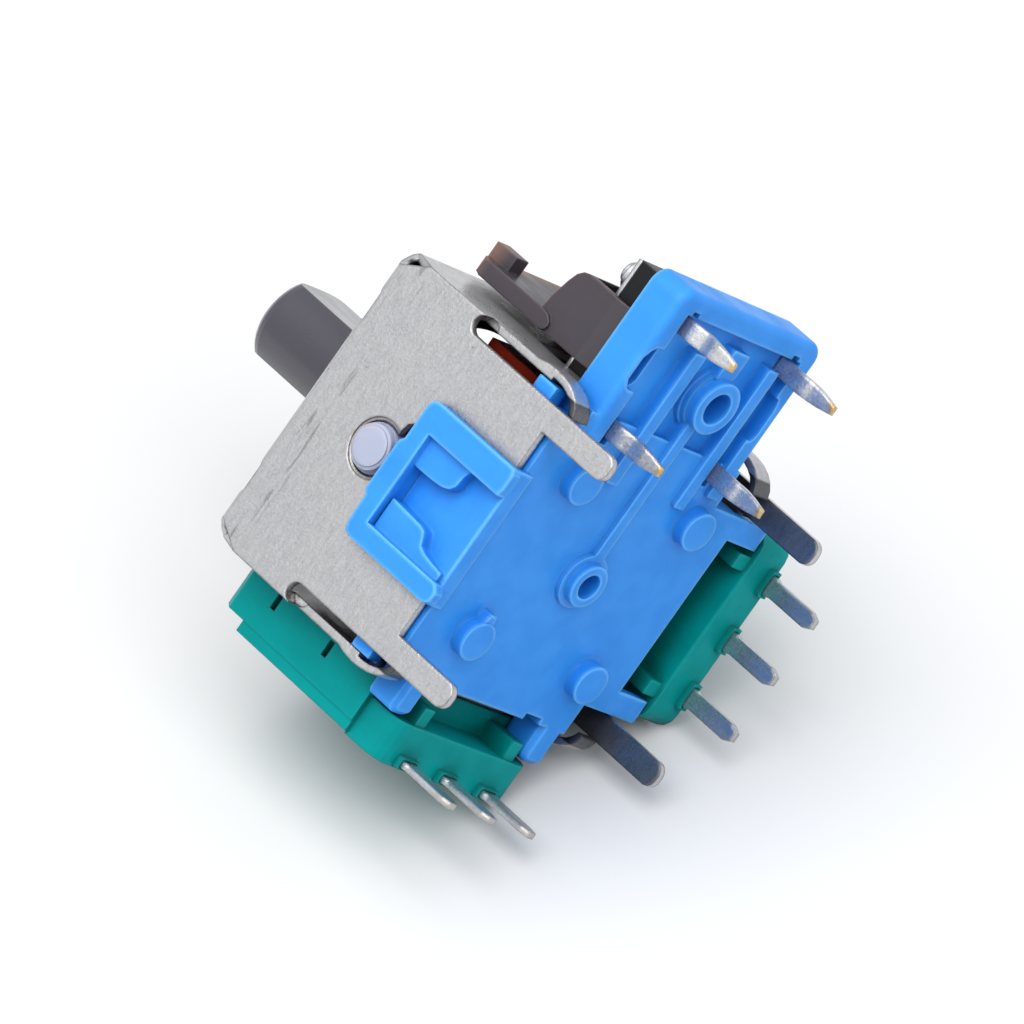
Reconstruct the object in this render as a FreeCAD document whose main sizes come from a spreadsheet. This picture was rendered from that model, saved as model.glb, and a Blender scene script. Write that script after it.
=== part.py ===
import FreeCAD, Part
import math
import os
import Sketcher

doc = FreeCAD.newDocument("thumb_stick_module")
V = FreeCAD.Vector

# The sheet of sizes. Each size is written once as a named cell, in millimetres
sheet = doc.addObject("Spreadsheet::Sheet", "sizes")


class Size:
    """A length that carries both its value and the sheet formula it comes from."""

    def __init__(self, value, text):
        self.value = value
        self.text = text

    def __add__(self, other):
        other = size(other)
        return Size(self.value + other.value, "(%s + %s)" % (self.text, other.text))

    def __radd__(self, other):
        return size(other) + self

    def __sub__(self, other):
        other = size(other)
        return Size(self.value - other.value, "(%s - %s)" % (self.text, other.text))

    def __rsub__(self, other):
        return size(other) - self

    def __mul__(self, factor):
        return Size(self.value * factor, "(%s * %s)" % (self.text, factor))

    def __rmul__(self, factor):
        return self * factor

    def __neg__(self):
        return Size(-self.value, "(0 - %s)" % self.text)


def size(x):
    return x if isinstance(x, Size) else Size(float(x), "%.6g" % x)


cells = 0


def cell(name, value):
    """One row of the sheet: a word in column A, its plain number in column B."""
    global cells
    cells += 1
    sheet.set("A%d" % cells, name)
    sheet.set("B%d" % cells, "%.6g" % value)
    sheet.setAlias("B%d" % cells, name)
    return Size(float(value), "sizes." + name)


# Stamped metal can
sheet_thick = cell("sheetThick", 0.3)
can_half_x = cell("canHalfX", 6.2)
can_half_y = cell("canHalfY", 6.785)
can_top = cell("canTop", 10.1)
wall_bottom = cell("wallBottom", 0.7)
rear_wall_bottom = cell("rearWallBottom", 1.1)
corner_cut = cell("cornerCut", 0.75)
notch_top = cell("notchTop", 5.45)
leg_inset = cell("legInset", 0.8)
leg_wide = cell("legWide", 1.0)
leg_tip = cell("legTip", -2.65)
strip_inset = cell("stripInset", 0.485)
strip_wide = cell("stripWide", 1.25)
stick_window = cell("stickWindowRadius", 4.6)
hook_reach = cell("hookReach", 0.85)

# The two crossed axes, and the shafts that turn on them
axis_z = cell("axisHeight", 6.2)
run_gap = cell("runningGap", 0.05)
shaft_r = cell("shaftRadius", 0.95)
blade_thick = cell("bladeThick", 0.8)
blade_tall = cell("bladeTall", 1.66)
press_drop = cell("pressDrop", 0.45)

# Stick
stick_r = cell("stickRadius", 2.0)
stick_flat = cell("stickFlatHalf", 1.5)
stick_end = cell("stickEnd", 17.4)
flat_start = cell("flatStart", 11.0)
neck_half = cell("neckHalf", 1.05)
hub_r = cell("hubRadius", 1.3)
hub_half = cell("hubHalfWidth", 1.35)
shoulder = cell("shoulderRise", 1.75)
foot_r = cell("footBallRadius", 2.6)
foot_top = cell("footTopDrop", 1.75)
pin_r = cell("pinRadius", 0.6)

# Lower rocker
cheek_out = cell("cheekOuter", 2.3)
rocker_half = cell("rockerHalfLength", 2.35)
window_half = cell("rockerWindowHalf", 1.6)
rocker_up = cell("rockerRise", 0.35)
rocker_down = cell("rockerDrop", 0.8)
cheek_boss_r = cell("cheekBossRadius", 1.1)

# Upper arch
arch_thick = cell("archThick", 0.9)
arch_drop = cell("archCentreDrop", 3.42)
arch_half_x = cell("archHalfWidth", 3.05)
arch_end_gap = cell("archEndGap", 0.885)
arch_foot = cell("archFootDrop", 1.3)
arch_leg_half = cell("archLegHalf", 1.6)
slot_gap = cell("slotSideGap", 0.22)
slot_half_y = cell("slotHalfLength", 3.5)

# Blue base
base_bottom = cell("baseBottom", 0.55)
base_top = cell("baseTop", 2.0)
base_side_gap = cell("baseSideGap", 0.05)
base_front_gap = cell("baseFrontGap", 0.085)
base_rear_gap = cell("baseRearGap", 0.385)
boss_x = cell("bossX", 3.375)
boss_y = cell("bossY", 3.626)
boss_r = cell("bossRadius", 0.78)
well_r = cell("wellRadius", 3.5)
well_floor = cell("wellFloor", 1.0)
shelf_lip = cell("shelfLip", 0.55)
shelf_side = cell("shelfSide", 1.5)
shelf_mid = cell("shelfMiddleY", -0.4)
shelf_bottom = cell("shelfBottom", 0.38)
shelf_floor = cell("shelfFloor", 0.85)
rim = cell("rimWidth", 0.85)
rib_bottom = cell("ribBottom", 0.35)
ring_one_r = cell("ringOneRadius", 0.85)
ring_two_shift = cell("ringTwoShift", 0.05)
ring_two_y = cell("ringTwoY", 0.14)
ring_two_r = cell("ringTwoRadius", 1.05)
clip_rise = cell("clipRise", 0.465)
clip_half = cell("clipHalfWidth", 2.87)
clip_top = cell("clipTop", 5.05)
clip_rib = cell("clipRibWidth", 0.82)
clip_window = cell("clipWindowTop", 4.28)

# Push arm and tact switch
arm_gap = cell("armGap", 0.35)
arm_thick = cell("armPlateThick", 0.65)
arm_fork_side = cell("armForkSide", 0.4)
arm_top = cell("armTop", 9.5)
arm_foot = cell("armFoot", 2.55)
arm_under = cell("armUnderside", 4.93)
arm_deep = cell("armDeep", 2.65)
tact_shift = cell("tactShift", 1.55)
tact_half = cell("tactHalf", 3.0)
tact_rise = cell("tactRise", 1.8)
cover_thick = cell("coverThick", 0.2)
stake_inset = cell("stakeInset", 0.8)
stake_r = cell("stakeRadius", 0.52)
plunger_inset = cell("plungerInset", 1.3)
plunger_top = cell("plungerTop", 4.9)
term_inset = cell("terminalInset", 0.75)
term_stand = cell("terminalStandOff", 0.25)
term_tip = cell("terminalTip", -2.26)
term_wide = cell("terminalWide", 0.72)
term_thick = cell("terminalThick", 0.25)
foot_half = cell("footHalfWidth", 0.6)

# Return spring and its plate
wire_r = cell("wireRadius", 0.2)
coil_r = cell("coilRadius", 2.75)
plate_top = cell("plateTop", 3.58)
plate_thick = cell("plateThick", 0.55)
plate_half = cell("plateHalf", 4.2)
wing_rise = cell("wingRise", 2.05)

# Turn sensors, both the same moulding
sensor_depth = cell("sensorDepth", 2.6)
sensor_half = cell("sensorHalfWidth", 4.4)
sensor_top = cell("sensorTop", 9.7)
sensor_step = cell("sensorStep", 8.4)
sensor_low = cell("sensorLow", 2.0)
sensor_foot = cell("sensorFoot", 0.4)
rear_stand_off = cell("rearStandOff", 0.2)
rotor_r = cell("rotorRadius", 2.95)
rotor_hub_r = cell("rotorHubRadius", 1.85)
cavity_r = cell("cavityRadius", 3.15)
pin_pitch = cell("pinPitch", 2.5)
pin_tip = cell("pinTip", -2.4)
pin_wide = cell("pinWide", 0.8)

# Hidden sides of the pieces follow from the sizes above
can_in_x = can_half_x - sheet_thick
can_in_y = can_half_y - sheet_thick
leg_out = can_half_x - leg_inset
leg_in = leg_out - leg_wide
strip_out = can_half_y - strip_inset
strip_in = strip_out - strip_wide
arch_half_y = can_half_y - arch_end_gap
span = arch_half_y.value ** 2 + arch_drop.value ** 2
arch_out_r = Size(math.sqrt(span), "sqrt(%s^2 + %s^2)" % (arch_half_y.text, arch_drop.text))
base_half_x = can_in_x - base_side_gap
base_front = can_in_y - base_front_gap
base_rear = can_in_y - base_rear_gap
tact_x = can_half_x + tact_shift
stake_off = tact_half - stake_inset
plunger_r = tact_half - plunger_inset
term_off_x = tact_half - term_inset
term_off_y = tact_half + term_stand
shelf_end = tact_x + tact_half + shelf_lip
shelf_half = tact_half + shelf_side
ring_two_x = tact_x + ring_two_shift
clip_front = can_half_y + clip_rise
arm_x = can_half_x + arm_gap
arm_half = tact_half + arm_fork_side
arm_reach = arm_x + arm_deep
wing_x = can_in_x - 0.35
wing_y = base_front - 0.8
shelf_front = shelf_mid - shelf_half
shelf_back = shelf_mid + shelf_half
cover_top = base_top + tact_rise + cover_thick
doc.recompute()


# Helpers that draw a bound sketch and grow or cut a prism from it
def bind(obj, prop, value):
    if isinstance(value, Size):
        obj.setExpression(prop, value.text)
    else:
        setattr(obj, prop, value)


def body(label):
    made = doc.addObject("PartDesign::Body", label)
    made.Label = label
    return made


def origin_plane(b, plane):
    for feature in b.Origin.OriginFeatures:
        if feature.Role == plane + "_Plane":
            return feature


def new_sketch(b, name, plane, offset):
    made = b.newObject("Sketcher::SketchObject", name)
    made.AttachmentSupport = [(origin_plane(b, plane), "")]
    made.MapMode = "FlatFace"
    offset = size(offset)
    made.AttachmentOffset = FreeCAD.Placement(V(0, 0, offset.value), FreeCAD.Rotation())
    made.setExpression("AttachmentOffset.Base.z", offset.text)
    return made


def pin_point(sketch, geo, pos, x, y):
    """Hold one sketch point at its place, by the sheet where the sheet gives it."""
    for kind, value in (("DistanceX", size(x)), ("DistanceY", size(y))):
        held = sketch.addConstraint(Sketcher.Constraint(kind, -1, 1, geo, pos, value.value))
        if "sizes." in value.text:
            sketch.setExpression("Constraints[%d]" % held, value.text)


def draw_outline(sketch, points):
    """A closed outline of straight edges through the points."""
    pts = [V(size(x).value, size(y).value, 0) for x, y in points]
    first = sketch.GeometryCount
    count = len(pts)
    lines = [Part.LineSegment(pts[i], pts[(i + 1) % count]) for i in range(count)]
    sketch.addGeometry(lines, False)
    joins = []
    for i in range(count):
        joins.append(Sketcher.Constraint("Coincident", first + i, 2, first + (i + 1) % count, 1))
    sketch.addConstraint(joins)
    for i, (x, y) in enumerate(points):
        pin_point(sketch, first + i, 1, x, y)


def draw_circle(sketch, x, y, r):
    r = size(r)
    geo = sketch.addGeometry(Part.Circle(V(size(x).value, size(y).value, 0), V(0, 0, 1), r.value), False)
    held = sketch.addConstraint(Sketcher.Constraint("Radius", geo, r.value))
    if "sizes." in r.text:
        sketch.setExpression("Constraints[%d]" % held, r.text)
    pin_point(sketch, geo, 3, x, y)


def prism(b, kind, name, plane, start, end, outlines=(), circles=()):
    """Grow (Pad) or cut (Pocket) between two heights along the plane's own axis."""
    offset = -size(end) if plane == "XZ" else size(start)
    sketch = new_sketch(b, name + "_sketch", plane, offset)
    for points in outlines:
        draw_outline(sketch, points)
    for x, y, r in circles:
        draw_circle(sketch, x, y, r)
    feature = b.newObject("PartDesign::" + kind, name)
    feature.Profile = sketch
    length = size(end) - size(start)
    feature.Length = length.value
    feature.setExpression("Length", length.text)
    if kind == "Pocket":
        feature.Reversed = True
    sketch.Visibility = False
    return feature


def pad(b, name, plane, start, end, outlines=(), circles=()):
    return prism(b, "Pad", name, plane, start, end, outlines, circles)


def pocket(b, name, plane, start, end, outlines=(), circles=()):
    return prism(b, "Pocket", name, plane, start, end, outlines, circles)


def rect(x0, x1, y0, y1):
    return [(x0, y0), (x1, y0), (x1, y1), (x0, y1)]


def edges_where(feature, test):
    """Names of the edges of a feature whose mid point and direction pass the test."""
    names = []
    for i, edge in enumerate(feature.Shape.Edges):
        mid = edge.valueAt((edge.FirstParameter + edge.LastParameter) / 2)
        if edge.Curve.TypeId == "Part::GeomLine" and test(mid, edge.Curve.Direction, edge.Length):
            names.append("Edge%d" % (i + 1))
    return names


def soften(b, kind, name, amount, test):
    """Fillet or chamfer the straight edges that pass the test."""
    doc.recompute()
    base = b.Tip
    feature = b.newObject("PartDesign::" + kind, name)
    feature.Base = (base, edges_where(base, test))
    feature.setExpression("Radius" if kind == "Fillet" else "Size", size(amount).text)
    return feature


def near(a, b):
    return abs(a - size(b).value) < 0.01


# Metal can: top plate with the round window for the stick
can = body("metal_can")
x, y, c = can_half_x, can_half_y, corner_cut
top_outline = [
    (-x + c, -y), (x - c, -y), (x, -y + c), (x, y - c),
    (x - c, y), (-x + c, y), (-x, y - c), (-x, -y + c),
]
pad(can, "top_plate", "XY", can_top - sheet_thick, can_top, [top_outline])


def end_wall(low):
    """Front or rear wall: shoulders above, narrow skirt below, and two solder legs."""
    return [
        (-leg_out, leg_tip), (-leg_in, leg_tip), (-leg_in, low), (leg_in, low), (leg_in, leg_tip),
        (leg_out, leg_tip), (leg_out, notch_top), (x, notch_top), (x, can_top - 1.4), (x - c, can_top),
        (-x + c, can_top), (-x, can_top - 1.4), (-x, notch_top), (-leg_out, notch_top),
    ]


pad(can, "front_wall", "XZ", -y, -can_in_y, [end_wall(wall_bottom)])
pad(can, "rear_wall", "XZ", can_in_y, y, [end_wall(rear_wall_bottom)])

# Side walls: a wide upper panel, and below it a narrow strip at each corner
left_low = 2.15
left_outline = [
    (-strip_out, 2.0), (-strip_in, 2.0), (-strip_in, left_low), (strip_in, left_low), (strip_in, 2.0),
    (strip_out, 2.0), (strip_out, notch_top), (y, notch_top), (y, can_top - 1.4), (y - c, can_top),
    (-y + c, can_top), (-y, can_top - 1.4), (-y, notch_top), (-strip_out, notch_top),
]
pad(can, "left_wall", "YZ", -x, -can_in_x, [left_outline])
right_high = arm_under + 0.2
right_outline = [
    (-strip_out, 2.0), (-strip_in + 1.1, 2.0), (-strip_in + 1.1, right_high), (strip_in - 0.8, right_high),
    (strip_in - 0.8, 2.0), (strip_out, 2.0), (strip_out, notch_top), (y, notch_top), (y, can_top - 1.4),
    (y - c, can_top), (-y + c, can_top), (-y, can_top - 1.4), (-y, notch_top), (-strip_out, notch_top),
]
pad(can, "right_wall", "YZ", can_in_x, x, [right_outline])


# Crimp hooks: the corner strips bow out a little, then curl in under the base's corners
def hook(side):
    r = hook_reach
    outer = [
        (x, 3.0), (x + 0.1, 2.55), (x + 0.14, 2.1), (x + 0.12, 1.65), (x + 0.05, 1.25),
        (x - 0.08, 0.9), (x - 0.27, 0.6), (x - 0.52, 0.38), (x - r, 0.25),
    ]
    inner = [
        (x - r - 0.05, 0.52), (x - 0.62, 0.66), (x - 0.42, 0.86), (x - 0.28, 1.12), (x - 0.19, 1.4),
        (x - 0.15, 1.75), (x - 0.15, 2.1), (x - 0.19, 2.55), (x - sheet_thick, 3.0),
    ]
    return [(px * side, pz) for px, pz in outer + inner]


hook_in = strip_out - 0.9
for word, side in (("left", -1), ("right", 1)):
    pad(can, word + "_front_hook", "XZ", -strip_out, -hook_in, [hook(side)])
    pad(can, word + "_rear_hook", "XZ", hook_in, strip_out, [hook(side)])

pocket(can, "stick_window", "XY", can_top - 1, can_top + 1, circles=[(0, 0, stick_window)])
pocket(can, "front_shaft_hole", "XZ", -y - 1, -y + 1, circles=[(0, axis_z, shaft_r + 0.08)])

# Front wall: a coined ring round the shaft hole, the clip's window, and a gap over the clip
pocket(can, "shaft_hole_ring", "XZ", -y - 1, -y + 0.05, circles=[(0, axis_z, shaft_r + 0.2)])
window_half_x = clip_half - clip_rib + 0.1
pocket(can, "clip_window", "XZ", -y - 1, -y + 1, [
    rect(-window_half_x, window_half_x, wall_bottom - 0.1, clip_window + 0.15),
])
pocket(can, "gap_over_clip", "XZ", -y - 1, -y + 1, [[
    (0.8, clip_top - 0.15), (1.7, clip_top - 0.15), (1.7, clip_top + 0.2), (1.45, clip_top + 0.55), (0.7, clip_top + 0.75),
]])

# The open notches at the four corners have round tops
notch_mid = (leg_out + x) * 0.5
for word, at in (("front", -y), ("rear", y)):
    pocket(can, word + "_notch_rounds", "XZ", at - 0.6, at + 0.6, circles=[
        (notch_mid, notch_top, leg_inset * 0.5), (-notch_mid, notch_top, leg_inset * 0.5),
    ])
pocket(can, "rear_rotor_hole", "XZ", y - 1, y + 1, circles=[(0, axis_z, rotor_hub_r + run_gap)])
pocket(can, "left_rotor_hole", "YZ", -x - 1, -x + 1, circles=[(0, axis_z, rotor_hub_r + run_gap)])
slot_half = shaft_r + 0.1
slot_up = axis_z + shaft_r + 0.12
slot_down = axis_z - shaft_r - press_drop
right_slot = rect(-slot_half, slot_half, slot_down, slot_up)
pocket(can, "press_slot", "YZ", x - 1, x + 1, [right_slot])


def leg_corner(mid, way, length):
    return abs(way.y) > 0.9 and near(mid.z, leg_tip)


soften(can, "Fillet", "leg_tips", 0.42, leg_corner)


def top_fold(mid, way, length):
    return near(mid.z, can_top) and length > 5 and (near(abs(mid.x), x) or near(abs(mid.y), y))


soften(can, "Fillet", "top_folds", 0.28, top_fold)

# Shallow dips in the top edges of the front and rear walls, where the sheet was relieved to fold
dips = []
for side in (-1, 1):
    dips.append([
        (side * 2.9, can_top + 0.3), (side * 2.9, can_top), (side * 3.2, can_top - 0.2), (side * 4.3, can_top - 0.2),
        (side * 4.6, can_top), (side * 4.6, can_top + 0.3),
    ])
pocket(can, "front_dips", "XZ", -y - 0.5, -y + 0.4, dips)
pocket(can, "rear_dips", "XZ", y - 0.4, y + 0.5, dips)
doc.recompute()

# Base: main plate that closes the can from below
base = body("base")
bx = base_half_x
front_x = bx - 0.6
rear_x = bx - 1.55
front_step = -base_front + 1.2
plate_outline = [
    (-front_x, -base_front), (front_x, -base_front), (front_x, front_step), (bx, front_step),
    (bx, base_rear - 1.75), (rear_x, base_rear - 1.75), (rear_x, base_rear), (-rear_x, base_rear),
    (-rear_x, base_rear - 1.35), (-bx + 0.25, base_rear - 1.35), (-bx + 0.25, base_rear - 3),
    (-bx + 0.5, base_rear - 3), (-bx + 0.5, base_rear - 4), (-bx + 0.25, base_rear - 4),
    (-bx + 0.25, front_step), (-front_x, front_step),
]
pad(base, "main_plate", "XY", base_bottom, base_top, [plate_outline])

# Tabs that reach out under the two turn sensors
tab_y = base_rear + 1.8
pad(base, "rear_tabs", "XY", base_bottom, rear_wall_bottom - 0.1, [
    rect(rear_x - 0.95, rear_x, base_rear - 0.3, tab_y),
    rect(-rear_x, -rear_x + 0.95, base_rear - 0.3, tab_y),
])
tab_x = -can_half_x - 0.92
pad(base, "left_tabs", "XY", base_bottom, base_top - 0.1, [
    rect(tab_x, -bx + 0.45, base_rear - 2.6, base_rear - 1.4),
    rect(tab_x, -bx + 0.45, -base_front + 1.65, -base_front + 2.8),
])


def tab_corner(mid, way, length):
    return abs(way.z) > 0.9 and near(mid.x, tab_x)


def tab_underside(mid, way, length):
    return abs(way.y) > 0.9 and near(mid.x, tab_x) and near(mid.z, base_bottom)


soften(base, "Fillet", "left_tab_corners", 0.32, tab_corner)
soften(base, "Chamfer", "left_tab_undersides", 0.2, tab_underside)

# Shelf that carries the tact switch, with its underside recessed inside a rim
shelf_in = bx - 1.25
recess_in = bx + 0.05
pad(base, "shelf", "XY", shelf_bottom, base_top, [rect(shelf_in, shelf_end, shelf_front, shelf_back)])


def shelf_corner(mid, way, length):
    return abs(way.z) > 0.9 and near(mid.x, shelf_end)


def shelf_under_edge(mid, way, length):
    outer = near(mid.x, shelf_end) or near(mid.y, shelf_front) or near(mid.y, shelf_back)
    return outer and near(mid.z, shelf_bottom)


soften(base, "Fillet", "shelf_corners", 0.65, shelf_corner)
soften(base, "Fillet", "shelf_under_edges", 0.28, shelf_under_edge)
pocket(base, "shelf_recess", "XY", shelf_bottom, shelf_floor, [
    rect(recess_in, shelf_end - rim, shelf_front + rim, shelf_back - rim),
])
pocket(base, "shelf_root", "XY", shelf_bottom, base_bottom, [
    rect(shelf_in, recess_in, shelf_front + rim, shelf_back - rim),
])

# Rounded bays let into the rim beside the arm's fork
def bay(wall, inward, near_edge, far_edge):
    """A rounded bay between two distances in from the shelf's side wall."""
    a = wall + inward * near_edge
    b = wall + inward * far_edge
    r = inward * (far_edge - near_edge) * 0.3
    return [
        (tact_x - 0.65, a + r), (tact_x - 0.55, a + r * 0.4), (tact_x - 0.3, a), (tact_x + 0.65, a),
        (tact_x + 0.95, a + r * 0.4), (tact_x + 1.15, a + r), (tact_x + 1.2, b - r * 1.2), (tact_x + 1.1, b - r * 0.4),
        (tact_x + 0.95, b), (tact_x - 0.35, b), (tact_x - 0.55, b - r * 0.4), (tact_x - 0.65, b - r),
    ]


pocket(base, "front_bay", "XY", shelf_bottom - 0.1, base_top - 0.4, [bay(shelf_front, 1, 0.15, 1.15)])
pocket(base, "back_bay", "XY", shelf_bottom - 0.1, shelf_floor + 0.2, [bay(shelf_back, -1, 0.5, 1)])

# Corner posts that stand inside the can's notches
pad(base, "corner_posts", "XY", base_top - 0.5, base_top + 0.45, [
    rect(bx - 1.1, bx, -base_front, -base_front + 0.65),
    rect(-bx, -bx + 1.1, -base_front, -base_front + 0.65),
])

# Round well for the return spring, around a solid centring boss
pocket(base, "spring_well", "XY", well_floor, base_top, circles=[(0, 0, well_r), (0, 0, coil_r - wire_r - 0.5)])

# Ribs under the plate and the shelf
pad(base, "side_ribs", "XY", rib_bottom, shelf_floor, [
    rect(boss_x + 0.325, shelf_end - 2, -2.35, -1.7),
    rect(boss_x + 0.425, shelf_end - 1.5, 1.9, 2.5),
])
pad(base, "middle_rib", "XY", rib_bottom, shelf_floor, [
    rect(0.6, ring_two_x - 0.9, -0.3, 0.25),
])
pad(base, "end_pad", "XY", rib_bottom, shelf_floor, [rect(ring_two_x + 0.9, shelf_end - 1.35, -0.5, 0.45)])

# Bosses whose ends are the seating plane
corner_bosses = [(sx * boss_x, sy * boss_y, boss_r) for sx in (-1, 1) for sy in (-1, 1)]
pad(base, "seat_bosses", "XY", 0, base_bottom + 0.1, circles=corner_bosses)
pad(base, "ring_flare", "XY", rib_bottom, base_bottom + 0.1, circles=[(0, 0, ring_one_r + 0.25)])
pad(base, "ring_boss_one", "XY", 0, base_bottom + 0.1, circles=[(0, 0, ring_one_r)])
pad(base, "ring_boss_two", "XY", 0, shelf_floor + 0.1, circles=[(ring_two_x, ring_two_y, ring_two_r)])
pad(base, "ring_two_flare", "XY", rib_bottom + 0.1, shelf_floor + 0.1, circles=[(ring_two_x, ring_two_y, ring_two_r + 0.1)])
pad(base, "ring_two_root", "XY", rib_bottom + 0.3, shelf_floor + 0.1, circles=[(ring_two_x, ring_two_y, ring_two_r + 0.22)])
pocket(base, "ring_hole_one", "XY", -0.1, 1.1, circles=[(0, 0, ring_one_r - 0.35)])
pocket(base, "ring_hole_two", "XY", -0.1, 1.3, circles=[(ring_two_x, ring_two_y, ring_two_r - 0.42)])
pad(base, "gate_nub", "XY", 0.05, base_bottom + 0.1, [[
    (-boss_x, -boss_y + 0.55), (-boss_x + 1.1, -boss_y + 0.15), (-boss_x + 1.1, -boss_y - 0.15),
    (-boss_x, -boss_y - 0.55),
]])

# Slots that let the tact switch's terminals down to the board
slots = []
for mid_x in (tact_x - term_off_x, tact_x + term_off_x):
    for side in (-1, 1):
        near_y = shelf_mid + side * (term_off_y - 0.19)
        far_y = shelf_mid + side * (term_off_y + 0.19)
        slots.append(rect(mid_x - foot_half - 0.03, mid_x + foot_half + 0.03, near_y, far_y))
pocket(base, "terminal_slots", "XY", 0, base_top + 0.1, slots)

# Clip that wraps under the front wall and rises outside it. A core passes in through the
# wall's window, and its face falls back as it climbs, so that two ribs and a top bar stand proud
clip_in = can_half_y + 0.02
rib_in = clip_half - clip_rib
ct = clip_top
pad(base, "clip_web", "XY", 0.36, wall_bottom - 0.03, [rect(-clip_half, clip_half, -clip_front, -base_front + 0.3)])
pad(base, "clip_upright", "XZ", -clip_front, -clip_in, [[
    (-clip_half, 0.4), (-clip_half + 0.15, 0.16), (-clip_half + 0.55, 0.12), (-rib_in, 0.36), (rib_in - 0.2, 0.36),
    (rib_in, 0.3), (clip_half - 0.2, 0.3), (clip_half, 0.5), (clip_half, ct - 0.35), (clip_half - 0.1, ct - 0.1),
    (clip_half - 0.35, ct), (1.1, ct), (0.9, ct + 0.17), (-1.15, ct + 0.17), (-1.35, ct), (-clip_half + 0.4, ct - 0.04),
    (-clip_half + 0.1, ct - 0.15), (-clip_half, ct - 0.4),
]])
pad(base, "clip_core", "XZ", -clip_in - 0.1, -base_front + 0.38, [
    rect(-rib_in - 0.02, rib_in + 0.02, base_bottom - 0.1, clip_window + 0.08),
])
pocket(base, "clip_recess", "YZ", -rib_in, rib_in - 0.3, [[
    (-clip_front - 0.3, clip_window), (-base_front + 0.08, clip_window), (-base_front + 0.06, 3.3),
    (-base_front - 0.03, 2.4), (-base_front - 0.18, 1.55), (-base_front - 0.36, 0.85), (-base_front - 0.5, 0.3),
    (-clip_front - 0.3, 0.3),
]])
pad(base, "clip_tab", "XZ", -clip_in - 0.15, -base_front + 0.2, [[
    (rib_in - 0.15, 1.8), (rib_in - 0.15, clip_window + 0.05), (0.53, clip_window + 0.05), (0.55, 3.3), (0.6, 2.75),
    (0.72, 2.42), (0.95, 2.25), (1.4, 2.2), (1.62, 2.1), (1.74, 1.9),
]])
pad(base, "clip_block", "XZ", -clip_in - 0.17, -base_front + 0.2, [[
    (-rib_in - 0.05, 0.6), (-1.72, 0.6), (-1.66, 1.2), (-1.58, 1.7), (-1.45, 2), (-1.2, 2.12), (-1, 2.25),
    (-0.92, 2.5), (-0.88, 3.4), (-0.84, clip_window - 0.12), (-rib_in - 0.05, clip_window - 0.12),
]])
doc.recompute()

# Stick: round shaft with two flats for the cap, neck, pin hub and ball-ended foot
stick = body("stick")
sketch = new_sketch(stick, "stick_profile", "XZ", 0)
low = axis_z - foot_top
ball_low = axis_z - foot_r
draw_outline(sketch, [
    (0, axis_z + shoulder), (stick_r, axis_z + shoulder), (stick_r, stick_end - 0.5),
    (stick_r - 0.05, stick_end - 0.28), (stick_r - 0.16, stick_end - 0.12), (stick_r - 0.32, stick_end - 0.03),
    (stick_r - 0.5, stick_end), (0, stick_end),
])
shaft = stick.newObject("PartDesign::Revolution", "shaft")
shaft.Profile = sketch
shaft.ReferenceAxis = (sketch, ["V_Axis"])
shaft.Angle = 360
flats = [
    rect(stick_flat, stick_r + 1, flat_start, stick_end + 1),
    rect(-stick_r - 1, -stick_flat, flat_start, stick_end + 1),
]
pocket(stick, "cap_flats", "XZ", -stick_r - 1, stick_r + 1, flats)
pad(stick, "neck", "XZ", -hub_half, hub_half, [rect(-neck_half, neck_half, low, axis_z + shoulder + 0.1)])
pad(stick, "hub", "XZ", -hub_half, hub_half, circles=[(0, axis_z, hub_r)])

# The foot is a slice of a ball centred on the crossing of the two axes, so that it
# keeps its height over the spring plate however the stick leans
foot = stick.newObject("Sketcher::SketchObject", "foot_profile")
foot.AttachmentSupport = [(origin_plane(stick, "XZ"), "")]
foot.MapMode = "FlatFace"
half_top = math.sqrt(foot_r.value ** 2 - foot_top.value ** 2)
start_angle = math.atan2(-foot_top.value, half_top)
ball = Part.Circle(V(0, axis_z.value, 0), V(0, 0, 1), foot_r.value)
foot.addGeometry([
    Part.ArcOfCircle(ball, -math.pi / 2, start_angle),
    Part.LineSegment(V(half_top, low.value, 0), V(0, low.value, 0)),
    Part.LineSegment(V(0, low.value, 0), V(0, ball_low.value, 0)),
], False)
foot.addConstraint([
    Sketcher.Constraint("Coincident", 0, 2, 1, 1),
    Sketcher.Constraint("Coincident", 1, 2, 2, 1),
    Sketcher.Constraint("Coincident", 2, 2, 0, 1),
    Sketcher.Constraint("PointOnObject", 0, 3, -2),
    Sketcher.Constraint("PointOnObject", 2, 1, -2),
    Sketcher.Constraint("PointOnObject", 2, 2, -2),
    Sketcher.Constraint("Horizontal", 1),
])
held = foot.addConstraint(Sketcher.Constraint("Radius", 0, foot_r.value))
foot.setExpression("Constraints[%d]" % held, foot_r.text)
held = foot.addConstraint(Sketcher.Constraint("DistanceY", -1, 1, 0, 3, axis_z.value))
foot.setExpression("Constraints[%d]" % held, axis_z.text)
held = foot.addConstraint(Sketcher.Constraint("DistanceY", -1, 1, 1, 2, low.value))
foot.setExpression("Constraints[%d]" % held, low.text)
foot_turn = stick.newObject("PartDesign::Revolution", "foot")
foot_turn.Profile = foot
foot_turn.ReferenceAxis = (foot, ["V_Axis"])
foot_turn.Angle = 360
pocket(stick, "pin_hole", "XZ", -hub_half - 1, hub_half + 1, circles=[(0, axis_z, pin_r + run_gap)])

# Pin that hinges the stick in the rocker
pin = body("stick_pin")
pad(pin, "pin", "XZ", -cheek_out + 0.05, cheek_out - 0.05, circles=[(0, axis_z, pin_r)])

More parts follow.
